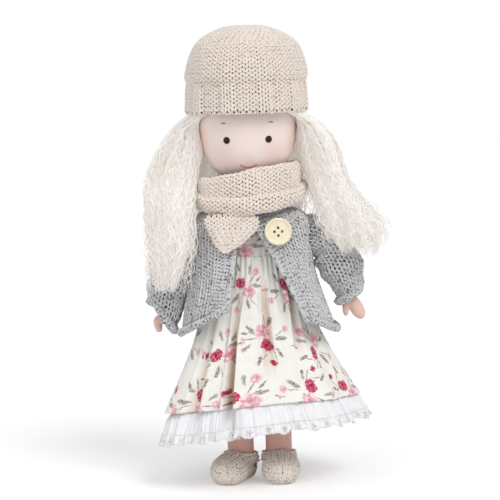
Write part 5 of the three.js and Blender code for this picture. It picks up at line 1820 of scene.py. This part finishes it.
def hair_root(side, lean, spread):
    """Where a strand is sewn to the wig: lean turns it round the head."""
    radius = HAIR_ROOT["radius"] + 0.7 * abs(spread)
    across, deep = side * radius * math.cos(lean), radius * math.sin(lean)
    return np.array([across, deep, CHIN + HAIR_ROOT["up"]])


def side_root(side):
    def root(a, b):
        return hair_root(side, 0.9 * b + 0.15, a)

    return root


def back_root(a, b):
    return hair_root(1, math.pi / 2 - 0.85 * a, b)


def hair_part(name, lines, core, upper):
    """The strands and the core of a mass, above or below the cut."""
    yarns = Yarns()
    for points, side, radius in lines:
        below = points[:, 2] < HAIR_CUT
        cut = np.argmax(below) if below.any() else len(points)
        kept = slice(0, cut + 1) if upper else slice(cut, None)
        if len(points[kept]) > 1:
            yarns.add(points[kept][None], side[kept][None], radius[kept][None], sides=3)
    points, uv = core
    cut = np.argmax(points[:, 0, 2] < HAIR_CUT)
    kept = slice(0, cut + 1) if upper else slice(cut, None)
    inner = grid_object(f"{name}_core", points[kept][::-1], HAIR_CORE, uv=uv[kept][::-1])
    return [*yarns.pieces(f"{name}_strands", HAIR, rounded=False), inner]


def make_hair():
    """Above the cut the hair turns with the head. Below it a side mass lifts with its arm."""
    roots = {"left": side_root(1), "right": side_root(-1), "back": back_root}
    for seed, (word, masses) in enumerate(HAIR_MASSES.items()):
        lines = strands(masses, 40 + seed, roots[word])
        core = hair_core(masses, 50 + seed)
        pieces = hair_part(f"hair_{word}", lines, core, True)
        ends = hair_part(f"hair_{word}_end", lines, core, False)
        for piece in pieces:
            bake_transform(piece, "head", "torso", *(place((0, 0, z)) for z in HAIR_TURN))
        for piece in ends:
            if word == "back":
                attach(piece, "torso")
            else:
                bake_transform(piece, "torso", f"{word}_arm", *(place((0, 0, z)) for z in HAIR_LIFT))
        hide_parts(f"hair_{word}")


WIG_EDGE = (52, 20)  # heights of its edge over the brow and at the nape
WIG_LIFT = 0.9
WIG_STRANDS = 420


def make_wig():
    """The cap that the hair is sewn to, with short strands lying over it under the hat."""
    angle = TAU * shares_round(72)
    edge = lerp(*WIG_EDGE, (np.sin(angle) + 1) / 2)
    rise = np.linspace(0, 1, 40)[:, None]
    up = lerp(edge, HEAD_UP[-1], np.sin(rise * math.pi / 2))
    across, deep = head_size(up)
    points = oval(across + WIG_LIFT, deep + WIG_LIFT, angle, CHIN + up + WIG_LIFT)
    cap = grid_object("wig_cap", points, WIG_NET, thick=0.4)
    yarns = Yarns()
    rng = np.random.default_rng(77)
    for _ in range(WIG_STRANDS):
        turn = rng.uniform(0, TAU)
        low = lerp(53, 24, (math.sin(turn) + 1) / 2) + rng.uniform(0, 4)
        rise = np.linspace(0, 1, 26)
        up = lerp(low, HEAD_UP[-1] - 0.1, np.sin(rise * math.pi / 2))
        across, deep = head_size(up)
        wander = turn + 0.05 * np.sin(rise * 9 + rng.uniform(0, TAU))
        lift = 1.5 + 0.25 * np.sin(rise * 40 + rng.uniform(0, TAU))
        line = oval(across + lift, deep + lift, wander, CHIN + up + 1.2 * rise)
        away = unit(line - np.array([0, 0, CHIN + 40]))
        yarns.add(line[None], away[None], rng.uniform(0.25, 0.4), sides=3)
    pieces = yarns.pieces("wig_strands", HAIR, rounded=False)
    settle([cap, *pieces], "head", "hair", "wig_net")


HAIR_CORE = hair_material("hair_core", "cloth", 0.25)
WIG_NET = cloth_material("wig_net", "efe6d8", "ddd0bd")
STRONG_THREAD = cloth_material("strong_thread", "efe8da", "d6cab5")

make_hair()
make_wig()
for thread_node in ("neck_tie", "shoulder_thread", "hip_thread", "button_thread"):
    shown = frame["nodes"][thread_node]
    shown.data.materials.clear()
    shown.data.materials.append(STRONG_THREAD)


# Floor, light and camera

LOOK_AT = Vector((AXIS[0] - 0.0007, AXIS[1], 0.1542))
CAMERA_AWAY = 1.247
CAMERA_RAISE = math.radians(6)
CAMERA_ROLL = math.radians(1.8)
LENS = 136
FLOOR_REACH = 4000.0
SKY = 0.48  # light from all round
FLOOR_LIFT = 0.27  # brings the lit floor up to the background's white
# Name, where it comes from (degrees to the doll's left of the front, and up), softness and strength
LAMPS = [
    ("key", (35, 46), 30, 1.14),
    ("fill", (-40, 38), 60, 0.48),
]


def background_ray(tree):
    """1 where the camera sees the background, straight or in gloss or glass."""
    path = tree.nodes.new("ShaderNodeLightPath")
    seen = path.outputs["Is Camera Ray"]
    for other in ("Is Glossy Ray", "Is Transmission Ray"):
        either = tree.nodes.new("ShaderNodeMath")
        either.operation = "MAXIMUM"
        tree.links.new(seen, either.inputs[0])
        tree.links.new(path.outputs[other], either.inputs[1])
        seen = either.outputs[0]
    return seen


def floor_material():
    g = Graph("floor_paper", Roughness=0.9, Specular_IOR_Level=0.1, Emission_Color=(1, 1, 1, 1))
    grain = g.noise(g.object_point(), 0.4, 3, 0.5)
    base = g.mix(grain, colour("f8f8f8"), colour("fcfcfc"))
    g.feed(g.shader.inputs["Emission Strength"], g.times(background_ray(g.tree), FLOOR_LIFT))
    return g.finish(base, None, g.bump(grain, 0.02))


def make_stage():
    edge = np.array([-FLOOR_REACH, FLOOR_REACH])
    points = xyz(*np.meshgrid(edge, edge), 0)
    floor = grid_object("floor", points, floor_material(), around=False)

    world = bpy.data.worlds.new("studio")
    bpy.context.scene.world = world
    world.use_nodes = True
    tree = world.node_tree
    back = tree.nodes["Background"]
    level = tree.nodes.new("ShaderNodeMapRange")
    level.inputs["To Min"].default_value = SKY
    level.inputs["To Max"].default_value = 1.0
    tree.links.new(background_ray(tree), level.inputs["Value"])
    tree.links.new(level.outputs[0], back.inputs["Strength"])
    back.inputs["Color"].default_value = (1, 1, 1, 1)

    for name, (azimuth, raised), spread, strength in LAMPS:
        lamp = bpy.data.lights.new(name, "SUN")
        lamp.angle = math.radians(spread)
        lamp.energy = strength
        made = bpy.data.objects.new(name, lamp)
        turn, lift = math.radians(azimuth), math.radians(raised)
        flat = math.cos(lift)
        away = Vector((math.sin(turn) * flat, -math.cos(turn) * flat, math.sin(lift)))
        made.rotation_euler = (-away).to_track_quat("-Z", "Y").to_euler()
        bpy.context.scene.collection.objects.link(made)


def make_camera():
    camera = bpy.data.cameras.new("camera")
    camera.lens = LENS
    camera.sensor_width = 36
    camera.clip_start = 0.05
    made = bpy.data.objects.new("camera", camera)
    ahead = Vector((0, math.cos(CAMERA_RAISE), -math.sin(CAMERA_RAISE)))
    made.location = LOOK_AT - CAMERA_AWAY * ahead
    facing = ahead.to_track_quat("-Z", "Y").to_matrix().to_4x4()
    made.rotation_euler = (facing @ Matrix.Rotation(-CAMERA_ROLL, 4, "Z")).to_euler()
    bpy.context.scene.collection.objects.link(made)
    bpy.context.scene.camera = made


make_stage()
make_camera()
bpy.context.scene.view_settings.view_transform = "Standard"
